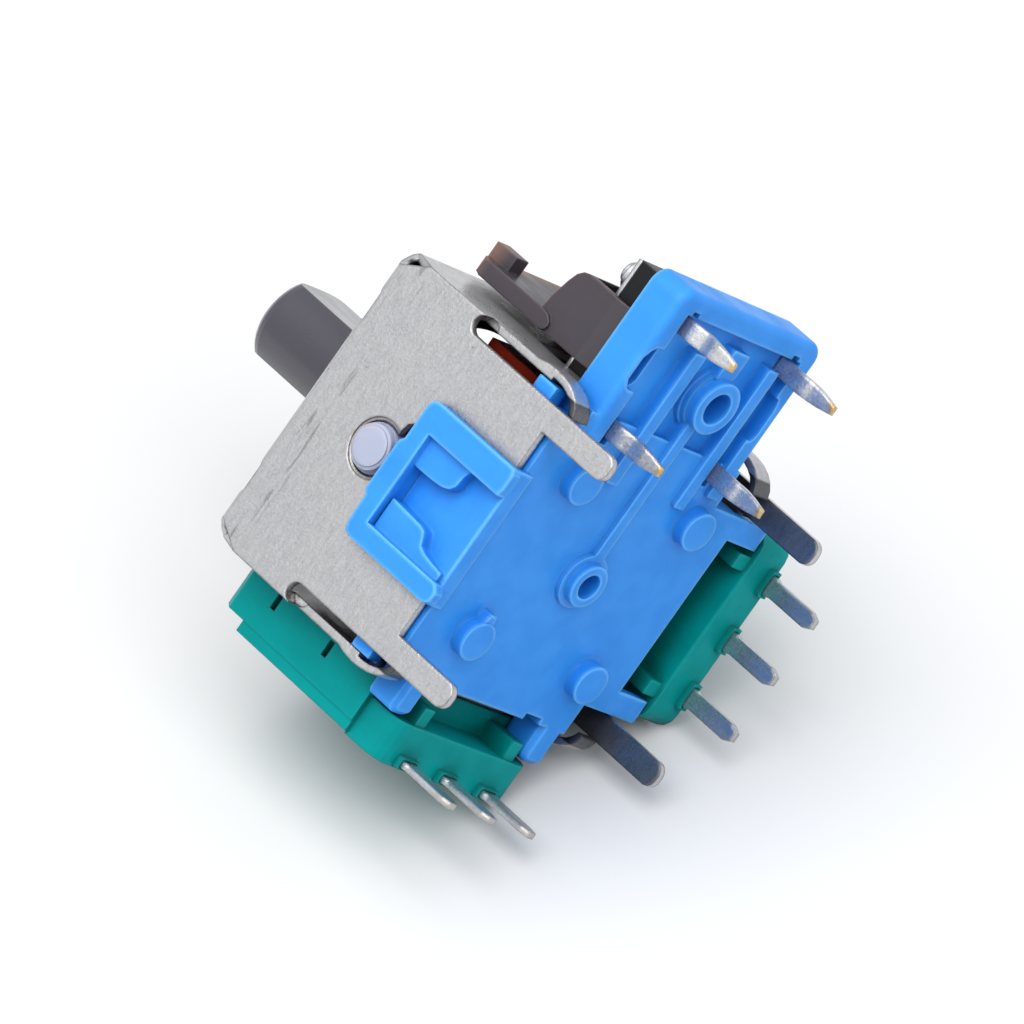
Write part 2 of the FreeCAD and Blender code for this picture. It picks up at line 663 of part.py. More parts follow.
# Lower rocker: frame around the hub, a shaft to the push arm, and a blade to the side sensor
rocker = body("rocker")
pad(rocker, "frame", "XY", axis_z - rocker_down, axis_z + rocker_up, [
    rect(-rocker_half, rocker_half, -cheek_out, cheek_out),
])
pad(rocker, "cheek_bosses", "XZ", -cheek_out, cheek_out, circles=[(0, axis_z, cheek_boss_r)])
pad(rocker, "long_shaft", "YZ", 0, arm_x + arm_thick, circles=[(0, axis_z, shaft_r)])
pad(rocker, "short_shaft", "YZ", -can_in_x + 0.6, 0, circles=[(0, axis_z, shaft_r)])
rocker_window = rect(-window_half, window_half, -hub_half - run_gap, hub_half + run_gap)
pocket(rocker, "hub_window", "XY", axis_z - 2, axis_z + 2, [rocker_window])
pocket(rocker, "pin_seats", "XZ", -cheek_out - 1, cheek_out + 1, circles=[(0, axis_z, pin_r + 0.01)])
blade = rect(-blade_thick * 0.5, blade_thick * 0.5, axis_z - blade_tall * 0.5, axis_z + blade_tall * 0.5)
pad(rocker, "blade", "YZ", -can_half_x - 0.9, -can_in_x + 0.8, [blade])

# Upper arch: a bowed bridge with a long slot that the stick runs in
arch = body("arch_gimbal")
arch_sketch = new_sketch(arch, "arch_profile", "YZ", -arch_half_x)
cz = axis_z - arch_drop
in_r = arch_out_r - arch_thick
out_y = math.sqrt(arch_out_r.value ** 2 - arch_drop.value ** 2)
in_y = math.sqrt(in_r.value ** 2 - arch_drop.value ** 2)
out_a = math.atan2(arch_drop.value, out_y)
in_a = math.atan2(arch_drop.value, in_y)
foot_z = axis_z - arch_foot
outer = Part.ArcOfCircle(Part.Circle(V(0, cz.value, 0), V(0, 0, 1), arch_out_r.value), out_a, math.pi - out_a)
inner = Part.ArcOfCircle(Part.Circle(V(0, cz.value, 0), V(0, 0, 1), in_r.value), in_a, math.pi - in_a)
az, fz = axis_z.value, foot_z.value
arch_sketch.addGeometry([
    outer,
    Part.LineSegment(V(-out_y, az, 0), V(-out_y, fz, 0)),
    Part.LineSegment(V(-out_y, fz, 0), V(-in_y, fz, 0)),
    Part.LineSegment(V(-in_y, fz, 0), V(-in_y, az, 0)),
    inner,
    Part.LineSegment(V(in_y, az, 0), V(in_y, fz, 0)),
    Part.LineSegment(V(in_y, fz, 0), V(out_y, fz, 0)),
    Part.LineSegment(V(out_y, fz, 0), V(out_y, az, 0)),
], False)
arch_sketch.addConstraint([
    Sketcher.Constraint("Coincident", 0, 2, 1, 1), Sketcher.Constraint("Coincident", 1, 2, 2, 1),
    Sketcher.Constraint("Coincident", 2, 2, 3, 1), Sketcher.Constraint("Coincident", 3, 2, 4, 2),
    Sketcher.Constraint("Coincident", 4, 1, 5, 1), Sketcher.Constraint("Coincident", 5, 2, 6, 1),
    Sketcher.Constraint("Coincident", 6, 2, 7, 1), Sketcher.Constraint("Coincident", 7, 2, 0, 1),
    Sketcher.Constraint("PointOnObject", 0, 3, -2), Sketcher.Constraint("Coincident", 0, 3, 4, 3),
    Sketcher.Constraint("Vertical", 1), Sketcher.Constraint("Vertical", 3), Sketcher.Constraint("Vertical", 5),
    Sketcher.Constraint("Vertical", 7), Sketcher.Constraint("Horizontal", 2), Sketcher.Constraint("Horizontal", 6),
])
for geo, pos, value in ((0, 3, cz), (1, 2, foot_z), (6, 1, foot_z), (0, 1, axis_z), (0, 2, axis_z), (4, 1, axis_z), (4, 2, axis_z)):
    held = arch_sketch.addConstraint(Sketcher.Constraint("DistanceY", -1, 1, geo, pos, value.value))
    arch_sketch.setExpression("Constraints[%d]" % held, value.text)
for geo, value in ((0, arch_out_r), (4, in_r)):
    held = arch_sketch.addConstraint(Sketcher.Constraint("Radius", geo, value.value))
    arch_sketch.setExpression("Constraints[%d]" % held, value.text)
bridge = arch.newObject("PartDesign::Pad", "bridge")
bridge.Profile = arch_sketch
bridge.Length = 2 * arch_half_x.value
bridge.setExpression("Length", (arch_half_x * 2).text)
slot_half_x = stick_r + slot_gap
arch_slot = [
    (-slot_half_x, -slot_half_y + 0.9), (-slot_half_x + 1.2, -slot_half_y), (slot_half_x - 1.2, -slot_half_y),
    (slot_half_x, -slot_half_y + 0.9), (slot_half_x, slot_half_y - 0.9), (slot_half_x - 1.2, slot_half_y),
    (-slot_half_x + 1.2, slot_half_y), (-slot_half_x, slot_half_y - 0.9),
]
pocket(arch, "stick_slot", "XY", axis_z, axis_z + 5, [arch_slot])
leg_trim = []
for side in (-1, 1):
    leg_trim.append([
        (side * (arch_half_x + 1), axis_z - 3), (side * arch_leg_half, axis_z - 3),
        (side * arch_leg_half, axis_z + 0.4), (side * arch_half_x, axis_z + 1.5), (side * (arch_half_x + 1), axis_z + 1.5),
    ])
pocket(arch, "leg_trim", "XZ", -arch_half_y - 1, arch_half_y + 1, leg_trim)
pad(arch, "front_shaft", "XZ", -can_half_y - 0.02, -arch_half_y + 0.6, circles=[(0, axis_z, shaft_r)])
pad(arch, "front_nose", "XZ", -can_half_y - 0.27, -can_half_y, circles=[(0, axis_z, shaft_r - 0.09)])
pad(arch, "front_nose_tip", "XZ", -can_half_y - 0.33, -can_half_y, circles=[(0, axis_z, shaft_r - 0.22)])
pad(arch, "rear_shaft", "XZ", arch_half_y - 0.6, can_in_y - 0.35, circles=[(0, axis_z, shaft_r)])
rear_blade = rect(-blade_thick * 0.5, blade_thick * 0.5, axis_z - blade_tall * 0.5, axis_z + blade_tall * 0.5)
pad(arch, "rear_blade", "XZ", arch_half_y - 0.4, can_half_y + rear_stand_off + 0.9, [rear_blade])

# Push arm: upright plate forked over the tact switch, with a presser block
arm = body("push_arm")
arm_front = shelf_mid - arm_half
arm_back = shelf_mid + arm_half
arm_out = arm_x + arm_thick
pad(arm, "plate", "YZ", arm_x, arm_out, [[
    (arm_front, arm_foot), (arm_back, arm_foot), (arm_back, arm_top - 1.1), (arm_back - 0.3, arm_top - 0.45),
    (arm_back - 1.1, arm_top), (arm_front + 0.55, arm_top), (arm_front + 0.2, arm_top - 0.12),
    (arm_front, arm_top - 0.5),
]])
pad(arm, "presser", "XZ", arm_front, arm_back, [[
    (arm_out - 0.1, arm_foot), (arm_reach, arm_foot), (arm_reach, arm_under + 0.1), (arm_reach - 0.08, arm_under + 0.36),
    (arm_reach - 0.3, arm_under + 0.58), (arm_reach - 0.7, arm_under + 0.74), (arm_out + 0.5, arm_under + 0.96),
    (arm_out - 0.1, arm_under + 1.02),
]])

# The plate's front edge stands a little prouder than the presser and ends in a round tongue
pad(arm, "front_edge", "XZ", arm_front - 0.14, arm_front + 0.1, [[
    (arm_x, arm_under + 0.5), (arm_x + 0.08, arm_under + 0.33), (arm_x + 0.25, arm_under + 0.25),
    (arm_x + 0.42, arm_under + 0.3), (arm_out - 0.06, arm_under + 0.5), (arm_out, arm_under + 0.8),
    (arm_out, arm_top - 0.55), (arm_out - 0.1, arm_top - 0.38), (arm_x + 0.1, arm_top - 0.38), (arm_x, arm_top - 0.55),
]])

# Both prongs thin out toward their feet
thinned = []
for wall, inward in ((arm_front, 1), (arm_back, -1)):
    thinned.append([
        (wall - inward * 0.1, 3.5), (wall, 3.5), (wall + inward * 0.2, arm_foot), (wall + inward * 0.2, arm_foot - 0.1),
        (wall - inward * 0.1, arm_foot - 0.1),
    ])
pocket(arm, "prong_slopes", "YZ", arm_x - 1, arm_reach + 1, thinned)
pocket(arm, "fork", "YZ", arm_x - 1, arm_reach + 1, [
    rect(shelf_mid - tact_half - 0.06, shelf_mid + tact_half + 0.06, arm_foot - 1, arm_under),
])
pad(arm, "nub", "YZ", arm_out - 0.1, arm_out + 0.6, [rect(arm_front + 0.6, arm_front + 1.35, arm_top - 1, arm_top + 0.1)])
pocket(arm, "shaft_hole", "YZ", arm_x - 1, arm_out + 2, circles=[(0, axis_z, shaft_r + run_gap)])

# Tact switch: moulded body with its four heat-formed stakes
tact = body("tact_body")
tz = base_top + tact_rise
near_y = shelf_mid - tact_half
far_y = shelf_mid + tact_half
pad(tact, "block", "XY", base_top, tz, [rect(tact_x - tact_half, tact_x + tact_half, near_y, far_y)])
pocket(tact, "cavity", "XY", base_top + 0.6, tz + 0.1, circles=[(tact_x, shelf_mid, plunger_r + 0.45)])
feet = []
roots = []
passages = []
for sx in (-1, 1):
    for sy in (-1, 1):
        px = tact_x + sx * term_off_x
        feet.append(rect(px - foot_half, px + foot_half,
                         shelf_mid + sy * (term_off_y - 0.16), shelf_mid + sy * (term_off_y + 0.16)))
        roots.append(rect(px - foot_half, px + foot_half,
                          shelf_mid + sy * (tact_half - 0.3), shelf_mid + sy * (term_off_y + 0.16)))
        passages.append(rect(px - term_wide * 0.5 - 0.02, px + term_wide * 0.5 + 0.02,
                             shelf_mid + sy * (term_off_y - 0.17), shelf_mid + sy * (term_off_y + 0.17)))
pad(tact, "locating_feet", "XY", shelf_floor + 0.03, base_top + 0.2, feet)
pad(tact, "foot_roots", "XY", base_top, base_top + 0.2, roots)
pocket(tact, "terminal_passages", "XY", shelf_floor, base_top + 0.57, passages)
stakes = [
    (tact_x + sx * stake_off, shelf_mid + sy * stake_off, stake_r) for sx in (-1, 1) for sy in (-1, 1)
]
pad(tact, "stakes", "XY", tz - 0.2, cover_top - 0.03, circles=stakes)
grips = []
for sx in (-1, 1):
    for sy in (-1, 1):
        px = tact_x + sx * term_off_x
        a = shelf_mid + sy * (tact_half - 0.35)
        b = shelf_mid + sy * (tact_half + 0.1)
        grips.append(rect(px - term_wide * 0.5 - 0.02, px + term_wide * 0.5 + 0.02, a, b))
pocket(tact, "terminal_seats", "XY", base_top + 0.28, base_top + 0.57, grips)

cover = body("tact_cover")
pad(cover, "cover_plate", "XY", tz, cover_top, [
    rect(tact_x - tact_half + 0.05, tact_x + tact_half - 0.05, near_y + 0.05, far_y - 0.05),
])
holes = [(cx, cy, r + 0.03) for cx, cy, r in stakes] + [(tact_x, shelf_mid, plunger_r + 0.08)]
pocket(cover, "cover_holes", "XY", tz - 1, cover_top + 1, circles=holes)
caps = [(cx, cy, r + 0.1) for cx, cy, r in stakes]
crowns = [(cx, cy, r - 0.1) for cx, cy, r in stakes]
pad(cover, "rivet_heads", "XY", cover_top - 0.01, cover_top + 0.3, circles=caps)
pad(cover, "rivet_crowns", "XY", cover_top + 0.2, cover_top + 0.55, circles=crowns)

plunger = body("tact_plunger")
pad(plunger, "flange", "XY", tz - 0.42, tz - 0.05, circles=[(tact_x, shelf_mid, plunger_r + 0.3)])
pad(plunger, "stem", "XY", tz - 0.1, plunger_top - 0.25, circles=[(tact_x, shelf_mid, plunger_r)])
pad(plunger, "crown", "XY", plunger_top - 0.3, plunger_top, circles=[(tact_x, shelf_mid, plunger_r * 0.55)])

# Snap dome under the plunger: a thin slice of a hollow ball
dome = body("tact_dome")
dome_sketch = dome.newObject("Sketcher::SketchObject", "dome_profile")
dome_sketch.AttachmentSupport = [(origin_plane(dome, "XZ"), "")]
dome_sketch.MapMode = "FlatFace"
dome_low = (base_top + 0.72).value
rise, half, skin = 0.62, plunger_r.value + 0.2, 0.1
ball_r = (half ** 2 + rise ** 2) / (2 * rise)
ball_z = dome_low + rise - ball_r
edge_a = math.atan2(dome_low - ball_z, half)
small_r = ball_r - skin
small_half = small_r * math.cos(edge_a)
small_low = ball_z + small_r * math.sin(edge_a)
dome_sketch.addGeometry([
    Part.ArcOfCircle(Part.Circle(V(0, ball_z, 0), V(0, 0, 1), ball_r), edge_a, math.pi / 2),
    Part.LineSegment(V(0, ball_z + ball_r, 0), V(0, ball_z + small_r, 0)),
    Part.ArcOfCircle(Part.Circle(V(0, ball_z, 0), V(0, 0, 1), small_r), edge_a, math.pi / 2),
    Part.LineSegment(V(small_half, small_low, 0), V(half, dome_low, 0)),
], False)
dome_sketch.addConstraint([
    Sketcher.Constraint("Coincident", 0, 2, 1, 1), Sketcher.Constraint("Coincident", 1, 2, 2, 2),
    Sketcher.Constraint("Coincident", 2, 1, 3, 1), Sketcher.Constraint("Coincident", 3, 2, 0, 1),
    Sketcher.Constraint("PointOnObject", 0, 2, -2), Sketcher.Constraint("Coincident", 0, 3, 2, 3),
])
dome_turn = dome.newObject("PartDesign::Revolution", "dome")
dome_turn.Profile = dome_sketch
dome_turn.ReferenceAxis = (dome_sketch, ["V_Axis"])
dome_turn.Angle = 360
dome.Placement = FreeCAD.Placement(V(tact_x.value, shelf_mid.value, 0), FreeCAD.Rotation())
dome.setExpression("Placement.Base.x", tact_x.text)
dome.setExpression("Placement.Base.y", shelf_mid.text)


# Tact terminals: a foot in the body, then down through the shelf with a holding kink
def tact_terminal(label, sx, sy):
    b = body(label)
    px = tact_x + sx * term_off_x
    inner_y = shelf_mid + sy * (tact_half - 0.3)
    a = shelf_mid + sy * (term_off_y - term_thick * 0.5)
    z_foot = base_top + 0.3
    t = term_thick
    out = shelf_mid + sy * (term_off_y + term_thick * 0.5)
    points = [
        (inner_y, z_foot), (a, z_foot), (a, 0.2), (a - sy * 0.04, -0.05), (a - sy * 0.11, -0.3), (a - sy * 0.13, -0.55),
        (a - sy * 0.1, -0.8), (a - sy * 0.03, -1.05), (a, -1.3), (a + sy * 0.06, term_tip), (out - sy * 0.06, term_tip),
        (out, -1.25), (out - sy * 0.03, -1.02), (out - sy * 0.1, -0.77), (out - sy * 0.13, -0.55), (out - sy * 0.1, -0.32),
        (out - sy * 0.03, -0.08), (out, 0.15), (out, z_foot + t), (inner_y, z_foot + t),
    ]
    pad(b, "strip", "YZ", px - term_wide * 0.5, px + term_wide * 0.5, [points])
    trims = []
    for side in (-1, 1):
        edge = px + side * term_wide * 0.5
        trims.append([
            (edge + side * 0.1, term_tip - 0.1), (px + side * 0.16, term_tip - 0.1), (px + side * 0.17, term_tip),
            (px + side * 0.29, -1.6), (edge - side * 0.02, -1.1), (edge, -0.6), (edge + side * 0.1, -0.6),
        ])
    pocket(b, "point", "XZ", shelf_mid - 5, shelf_mid + 5, trims)
    return b


count = 0
for sx in (-1, 1):
    for sy in (-1, 1):
        count += 1
        tact_terminal("tact_terminal_%d" % count, sx, sy)

# Spring plate: square slider with a tall guide wing at each corner
plate = body("spring_plate")
plate_low = plate_top - plate_thick
pad(plate, "slab", "XY", plate_low, plate_top, [rect(-plate_half, plate_half, -plate_half, plate_half)])
arms = []
wings = []
for sx in (-1, 1):
    for sy in (-1, 1):
        arms.append([
            (sx * (plate_half - 1), sy * (plate_half - 0.3)), (sx * (plate_half - 0.3), sy * (plate_half - 1)),
            (sx * (wing_x - 1.15), sy * (wing_y - 1.5)), (sx * wing_x, sy * (wing_y - 1.2)), (sx * wing_x, sy * wing_y),
            (sx * (wing_x - 1.15), sy * wing_y),
        ])
        wings.append(rect(sx * (wing_x - 0.8), sx * wing_x, sy * (wing_y - 1.2), sy * wing_y))
for i, (arm_outline, wing_outline) in enumerate(zip(arms, wings)):
    pad(plate, "corner_arm_%d" % (i + 1), "XY", plate_low, plate_top - 0.1, [arm_outline])
    pad(plate, "corner_wing_%d" % (i + 1), "XY", plate_low, plate_top + wing_rise, [wing_outline])
pad(plate, "centring_boss", "XY", plate_low - 0.4, plate_low + 0.1, circles=[(0, 0, coil_r - wire_r - 0.5)])

# Return spring: three coils of round wire, laid as six half rings, each tilted so that its
# end meets the next one's start
coil_low = well_floor + wire_r + 0.02
coil_high = plate_low - wire_r - 0.02
half_turns = 6
rise_each = (coil_high - coil_low) * (1.0 / half_turns)
tilt = math.degrees(math.asin(rise_each.value / (2 * coil_r.value)))
rings = []
for i in range(half_turns):
    ring = doc.addObject("Part::Torus", "half_coil_%d" % (i + 1))
    ring.setExpression("Radius1", coil_r.text)
    ring.setExpression("Radius2", wire_r.text)
    ring.Angle3 = 180
    lean = FreeCAD.Rotation(V(0, 1, 0), tilt)
    ring.Placement = FreeCAD.Placement(V(0, 0, 0), FreeCAD.Rotation(V(0, 0, 1), 180 * (i % 2)) * lean)
    ring.setExpression("Placement.Base.z", (coil_low + rise_each * (i + 0.5)).text)
    rings.append(ring)
spring = doc.addObject("Part::MultiFuse", "return_spring")
spring.Shapes = rings
spring.Label = "return_spring"


# Turn sensors. Each is drawn with the wall's outer face at Y zero and outward as +Y, then placed
def place(b, where):
    b.Placement = where[0]
    for prop, value in where[1]:
        b.setExpression(prop, value.text)


def turn_sensor(prefix, where):
    made = []
    housing = body(prefix + "_housing")
    made.append(housing)
    d = sensor_depth
    w = sensor_half
    pad(housing, "lid", "XZ", 0, d - 0.45, [[
        (-w, sensor_low), (w, sensor_low), (w, sensor_top - 0.5), (w - 0.5, sensor_top),
        (-w + 0.5, sensor_top), (-w, sensor_top - 0.5),
    ]])
    pad(housing, "raised_face", "XZ", d - 0.55, d, [rect(-w + 0.05, w - 0.05, sensor_low, sensor_step)])
    b = w - 0.25
    f = sensor_foot
    pad(housing, "terminal_block", "XZ", 1.05, d + 0.12, [[
        (-b + 0.75, f), (b - 0.75, f), (b - 0.45, f + 0.06), (b - 0.2, f + 0.24), (b - 0.05, f + 0.5), (b, f + 0.85),
        (b, sensor_low + 0.1), (-b, sensor_low + 0.1), (-b, f + 0.85), (-b + 0.05, f + 0.5), (-b + 0.2, f + 0.24),
        (-b + 0.45, f + 0.06),
    ]])
    pad(housing, "inner_ribs", "XZ", 0.3, 1.1, [
        rect(-w + 1.3, -w + 1.9, f + 0.15, sensor_low + 0.1),
        rect(w - 1.9, w - 1.3, f + 0.15, sensor_low + 0.1),
    ])
    collars = [rect(i * pin_pitch - 0.55, i * pin_pitch + 0.55, f - 0.22, f + 0.1) for i in (-1, 0, 1)]
    pad(housing, "pin_collars", "XZ", d - 0.42, d + 0.06, collars)
    pocket(housing, "rotor_cavity", "XZ", -0.1, 1.5, circles=[(0, axis_z, cavity_r)])
    pocket(housing, "element_seat", "XZ", 1.4, 1.97, [rect(-w + 1.3, w - 1.3, sensor_low - 0.7, sensor_step - 0.3)])
    grooves = []
    for side in (-1, 1):
        for gz in (4.6, 7.6):
            grooves.append(rect(side * (w - 0.3), side * (w + 0.2), gz - 0.13, gz + 0.13))
    pocket(housing, "side_grooves", "XZ", 0.5, 1.15, grooves)
    pin_slots = []
    for i in (-1, 0, 1):
        cx = i * pin_pitch
        pin_slots.append((cx - pin_wide * 0.5 - 0.03, cx + pin_wide * 0.5 + 0.03))
    shafts = [rect(left, right, 0, sensor_low + 0.35) for left, right in pin_slots]
    feet = [rect(left, right, sensor_low, sensor_low + 0.35) for left, right in pin_slots]
    pocket(housing, "pin_shafts", "XZ", d - 0.33, d - 0.02, shafts)
    pocket(housing, "pin_feet", "XZ", 1.9, d - 0.2, feet)
    place(housing, where)

    rotor = body(prefix + "_rotor")
    made.append(rotor)
    pad(rotor, "disc", "XZ", 0.2, 1.22, circles=[(0, axis_z, rotor_r)])
    pad(rotor, "hub", "XZ", -0.78, 0.3, circles=[(0, axis_z, rotor_hub_r)])
    key = rect(-blade_thick * 0.5 - run_gap, blade_thick * 0.5 + run_gap,
               axis_z - blade_tall * 0.5 - run_gap, axis_z + blade_tall * 0.5 + run_gap)
    pocket(rotor, "key_slot", "XZ", -1, 1.05, [key])
    place(rotor, where)

    wiper = body(prefix + "_wiper")
    made.append(wiper)
    pad(wiper, "spring_ring", "XZ", 1.24, 1.34, circles=[(0, axis_z, 2.6), (0, axis_z, 1.7)])
    pad(wiper, "contact_tips", "XZ", 1.3, 1.5, [
        rect(-0.35, 0.35, axis_z + 1.8, axis_z + 2.1),
        rect(-0.35, 0.35, axis_z + 2.25, axis_z + 2.55),
    ])
    place(wiper, where)

    element = body(prefix + "_element")
    made.append(element)
    pad(element, "track_board", "XZ", 1.52, 1.92, [rect(-w + 1.35, w - 1.35, sensor_low - 0.65, sensor_step - 0.35)])
    place(element, where)

    for i in (-1, 0, 1):
        term = body(prefix + "_terminal_%d" % (i + 2))
        made.append(term)
        cx = i * pin_pitch
        h = pin_wide * 0.5
        pad(term, "pin", "XZ", d - 0.3, d - 0.05, [[
            (cx - h * 0.45, pin_tip), (cx + h * 0.45, pin_tip), (cx + h * 0.85, pin_tip + 0.35),
            (cx + h * 0.85, -0.1), (cx + h, 0), (cx + h, sensor_low + 0.3), (cx - h, sensor_low + 0.3), (cx - h, 0),
            (cx - h * 0.85, -0.1), (cx - h * 0.85, pin_tip + 0.35),
        ]])
        pad(term, "foot", "XZ", 1.94, d - 0.2, [rect(cx - h, cx + h, sensor_low + 0.05, sensor_low + 0.3)])
        place(term, where)
    return made


left_place = (
    FreeCAD.Placement(V(-can_half_x.value, 0, 0), FreeCAD.Rotation(V(0, 0, 1), 90)),
    [("Placement.Base.x", -can_half_x)],
)
rear_place = (
    FreeCAD.Placement(V(0, can_half_y.value + rear_stand_off.value, 0), FreeCAD.Rotation()),
    [("Placement.Base.y", can_half_y + rear_stand_off)],
)
side_sensor = turn_sensor("side_sensor", left_place)
rear_sensor = turn_sensor("rear_sensor", rear_place)
doc.recompute()

# Check every feature, then write one file for each piece
for obj in doc.Objects:
    if "Invalid" in obj.State or "Error" in obj.State:
        raise RuntimeError("feature not valid: " + obj.Name + " " + str(obj.State))
os.makedirs("parts", exist_ok=True)
pieces = [obj for obj in doc.Objects if obj.TypeId == "PartDesign::Body"] + [spring]
total = 0
for piece in pieces:
    shape = piece.Shape
    if shape.isNull() or not shape.isValid() or len(shape.Solids) != 1:
        raise RuntimeError("piece not one valid solid: %s %d" % (piece.Label, len(shape.Solids)))
    box = shape.BoundBox
    print("%-24s %8.3f mm3  X %6.2f %6.2f  Y %6.2f %6.2f  Z %6.2f %6.2f" % (
        piece.Label, shape.Volume, box.XMin, box.XMax, box.YMin, box.YMax, box.ZMin, box.ZMax))
    shape.exportStep("parts/" + piece.Label + ".step")
    total += 1
print("pieces:", total)
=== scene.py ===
# %% [markdown]
# # Dressing a small thumb stick module
#
# The module arrives as 31 imported pieces in metres, already in their places. This
# lesson gives each piece its finish, makes stand-ins for the two springs, and sets
# up one picture of the module lying on its side on a white table, seen from the
# side that faces the board.
#
# Everything here is a few millimetres across, so lengths are written as so many MM.
# The scale of a noise counts grains per metre: at 1000 one grain is about a
# millimetre wide, and at 10000 a tenth of that.

# %% Load the imported module
import bpy
from mathutils import Matrix, Vector


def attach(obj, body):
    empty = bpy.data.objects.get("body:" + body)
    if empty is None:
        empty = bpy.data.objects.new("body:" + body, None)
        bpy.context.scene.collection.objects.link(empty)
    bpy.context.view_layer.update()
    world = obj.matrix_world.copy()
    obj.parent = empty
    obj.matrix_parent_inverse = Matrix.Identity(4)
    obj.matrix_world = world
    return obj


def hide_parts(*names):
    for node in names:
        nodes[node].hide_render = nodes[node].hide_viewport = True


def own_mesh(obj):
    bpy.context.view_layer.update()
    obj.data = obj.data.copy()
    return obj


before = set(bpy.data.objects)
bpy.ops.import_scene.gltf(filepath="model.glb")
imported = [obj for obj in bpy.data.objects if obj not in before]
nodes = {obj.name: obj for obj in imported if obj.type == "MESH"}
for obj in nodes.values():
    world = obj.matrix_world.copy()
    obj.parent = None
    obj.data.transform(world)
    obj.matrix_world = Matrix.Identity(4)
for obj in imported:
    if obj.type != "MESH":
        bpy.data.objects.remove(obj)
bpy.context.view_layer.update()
scene = bpy.context.scene
MM = 0.001
print("nodes:", len(nodes))

# %% [markdown]
# ## A few helpers
#
# A node group is a small recipe that several materials share. Each group here takes
# plain numbers and hands back a colour, a value or a surface normal, and the
# Principled shader itself always stays in the material. Wiring nodes by hand takes
# many lines, so a few helpers add one kind of node each and link what it needs.

# %% Helpers that add and wire nodes
def new_group(name, inputs, outputs):
    """An empty recipe with named inputs and outputs."""
    group = bpy.data.node_groups.new(name, "ShaderNodeTree")
    for label, kind, start in inputs:
        socket = group.interface.new_socket(name=label, in_out="INPUT", socket_type=kind)
        socket.default_value = start
    for label, kind in outputs:
        group.interface.new_socket(name=label, in_out="OUTPUT", socket_type=kind)
    start_node = group.nodes.new("NodeGroupInput")
    end_node = group.nodes.new("NodeGroupOutput")
    start_node.location = (-900, 0)
    end_node.location = (700, 0)
    return group, start_node, end_node


def add(tree, kind, x=0, y=0, **settings):
    """One node, placed at x, y in the node editor."""
    node = tree.nodes.new(kind)
    node.location = (x, y)
    for key, value in settings.items():
        setattr(node, key, value)
    return node


def plug(tree, socket, value):
    """Link a socket to this one, or set a plain value on it."""
    if isinstance(value, bpy.types.NodeSocket):
        tree.links.new(value, socket)
    else:
        socket.default_value = value


print("wiring helpers ready")

# %% [markdown]
# The next helpers do sums, blend colours and make noise. In each, a value may be
# either another node's socket or a plain number.

# %% Helpers for sums, colours and noise
def calculate(tree, x, y, operation, *values, **settings):
    node = add(tree, "ShaderNodeMath", x, y, operation=operation, **settings)
    for socket, value in zip(node.inputs, values):
        plug(tree, socket, value)
    return node.outputs[0]


def product(tree, x, y, first, *others):
    """Multiply masks with each other, one after the other."""
    for other in others:
        first = calculate(tree, x, y, "MULTIPLY", first, other)
    return first


def mix_colours(tree, x, y, factor, a, b):
    """Blend from colour a to colour b."""
    node = add(tree, "ShaderNodeMix", x, y, data_type="RGBA")
    for place, value in ((0, factor), (6, a), (7, b)):
        plug(tree, node.inputs[place], value)
    return node.outputs[2]


def noise(tree, x, y, vector, scale, detail=3.0, roughness=0.5):
    node = add(tree, "ShaderNodeTexNoise", x, y)
    for label, value in (("Vector", vector), ("Scale", scale), ("Detail", detail), ("Roughness", roughness)):
        plug(tree, node.inputs[label], value)
    return node.outputs["Fac"]


def spread(tree, x, y, value, low, high, to_low=0.0, to_high=1.0):
    """Stretch a value so that low..high becomes to_low..to_high."""
    node = add(tree, "ShaderNodeMapRange", x, y)
    plug(tree, node.inputs["Value"], value)
    for label, number in (("From Min", low), ("From Max", high), ("To Min", to_low), ("To Max", to_high)):
        plug(tree, node.inputs[label], number)
    return node.outputs["Result"]


def stretched(tree, x, y, vector, scale):
    """Squeeze a pattern's space: a small scale along an axis draws the pattern out along it."""
    node = add(tree, "ShaderNodeMapping", x, y)
    plug(tree, node.inputs["Scale"], scale)
    plug(tree, node.inputs["Vector"], vector)
    return node.outputs["Vector"]


print("sums, colours and noise ready")

# %% [markdown]
# Real edges are never knife sharp. A Bevel node softens the normal near an edge, and
# the fine relief of the surface goes on top of that. The softened normal also tells
# where the edges are, because it leans away from the true one there.

# %% Helpers for edges and relief
def soft_edges(tree, x, y, radius, samples=6):
    node = add(tree, "ShaderNodeBevel", x, y, samples=samples)
    plug(tree, node.inputs["Radius"], radius)
    return node.outputs["Normal"]


def relief(tree, x, y, height, strength, distance, normal):
    """A fine relief on top of a softened normal."""
    node = add(tree, "ShaderNodeBump", x, y)
    plug(tree, node.inputs["Height"], height)
    plug(tree, node.inputs["Strength"], strength)
    plug(tree, node.inputs["Distance"], distance)
    plug(tree, node.inputs["Normal"], normal)
    return node.outputs["Normal"]


def edge_mask(tree, x, y, soft_normal, low, high):
    """1 on an edge, 0 on a flat face: the softened normal leans away from the true one."""
    true_normal = add(tree, "ShaderNodeNewGeometry", x - 400, y).outputs["Normal"]
    lean = add(tree, "ShaderNodeVectorMath", x - 200, y, operation="DOT_PRODUCT")
    plug(tree, lean.inputs[0], true_normal)
    plug(tree, lean.inputs[1], soft_normal)
    return spread(tree, x, y, lean.outputs["Value"], high, low)


def openness(tree, x, y, distance):
    """1 where the surface stands free, towards 0 where it has neighbours within the distance."""
    node = add(tree, "ShaderNodeAmbientOcclusion", x, y, samples=6)
    node.inputs["Distance"].default_value = distance
    return node.outputs["AO"]


print("edge helpers ready")

# %% [markdown]
# ## Moulded plastic
#
# Most of the module is injection-moulded plastic. One recipe serves all its colours:
# blue, green, grey, brown, whitish and black. What differs from piece to piece is an
# input of the group, and what all of them share is built once below.

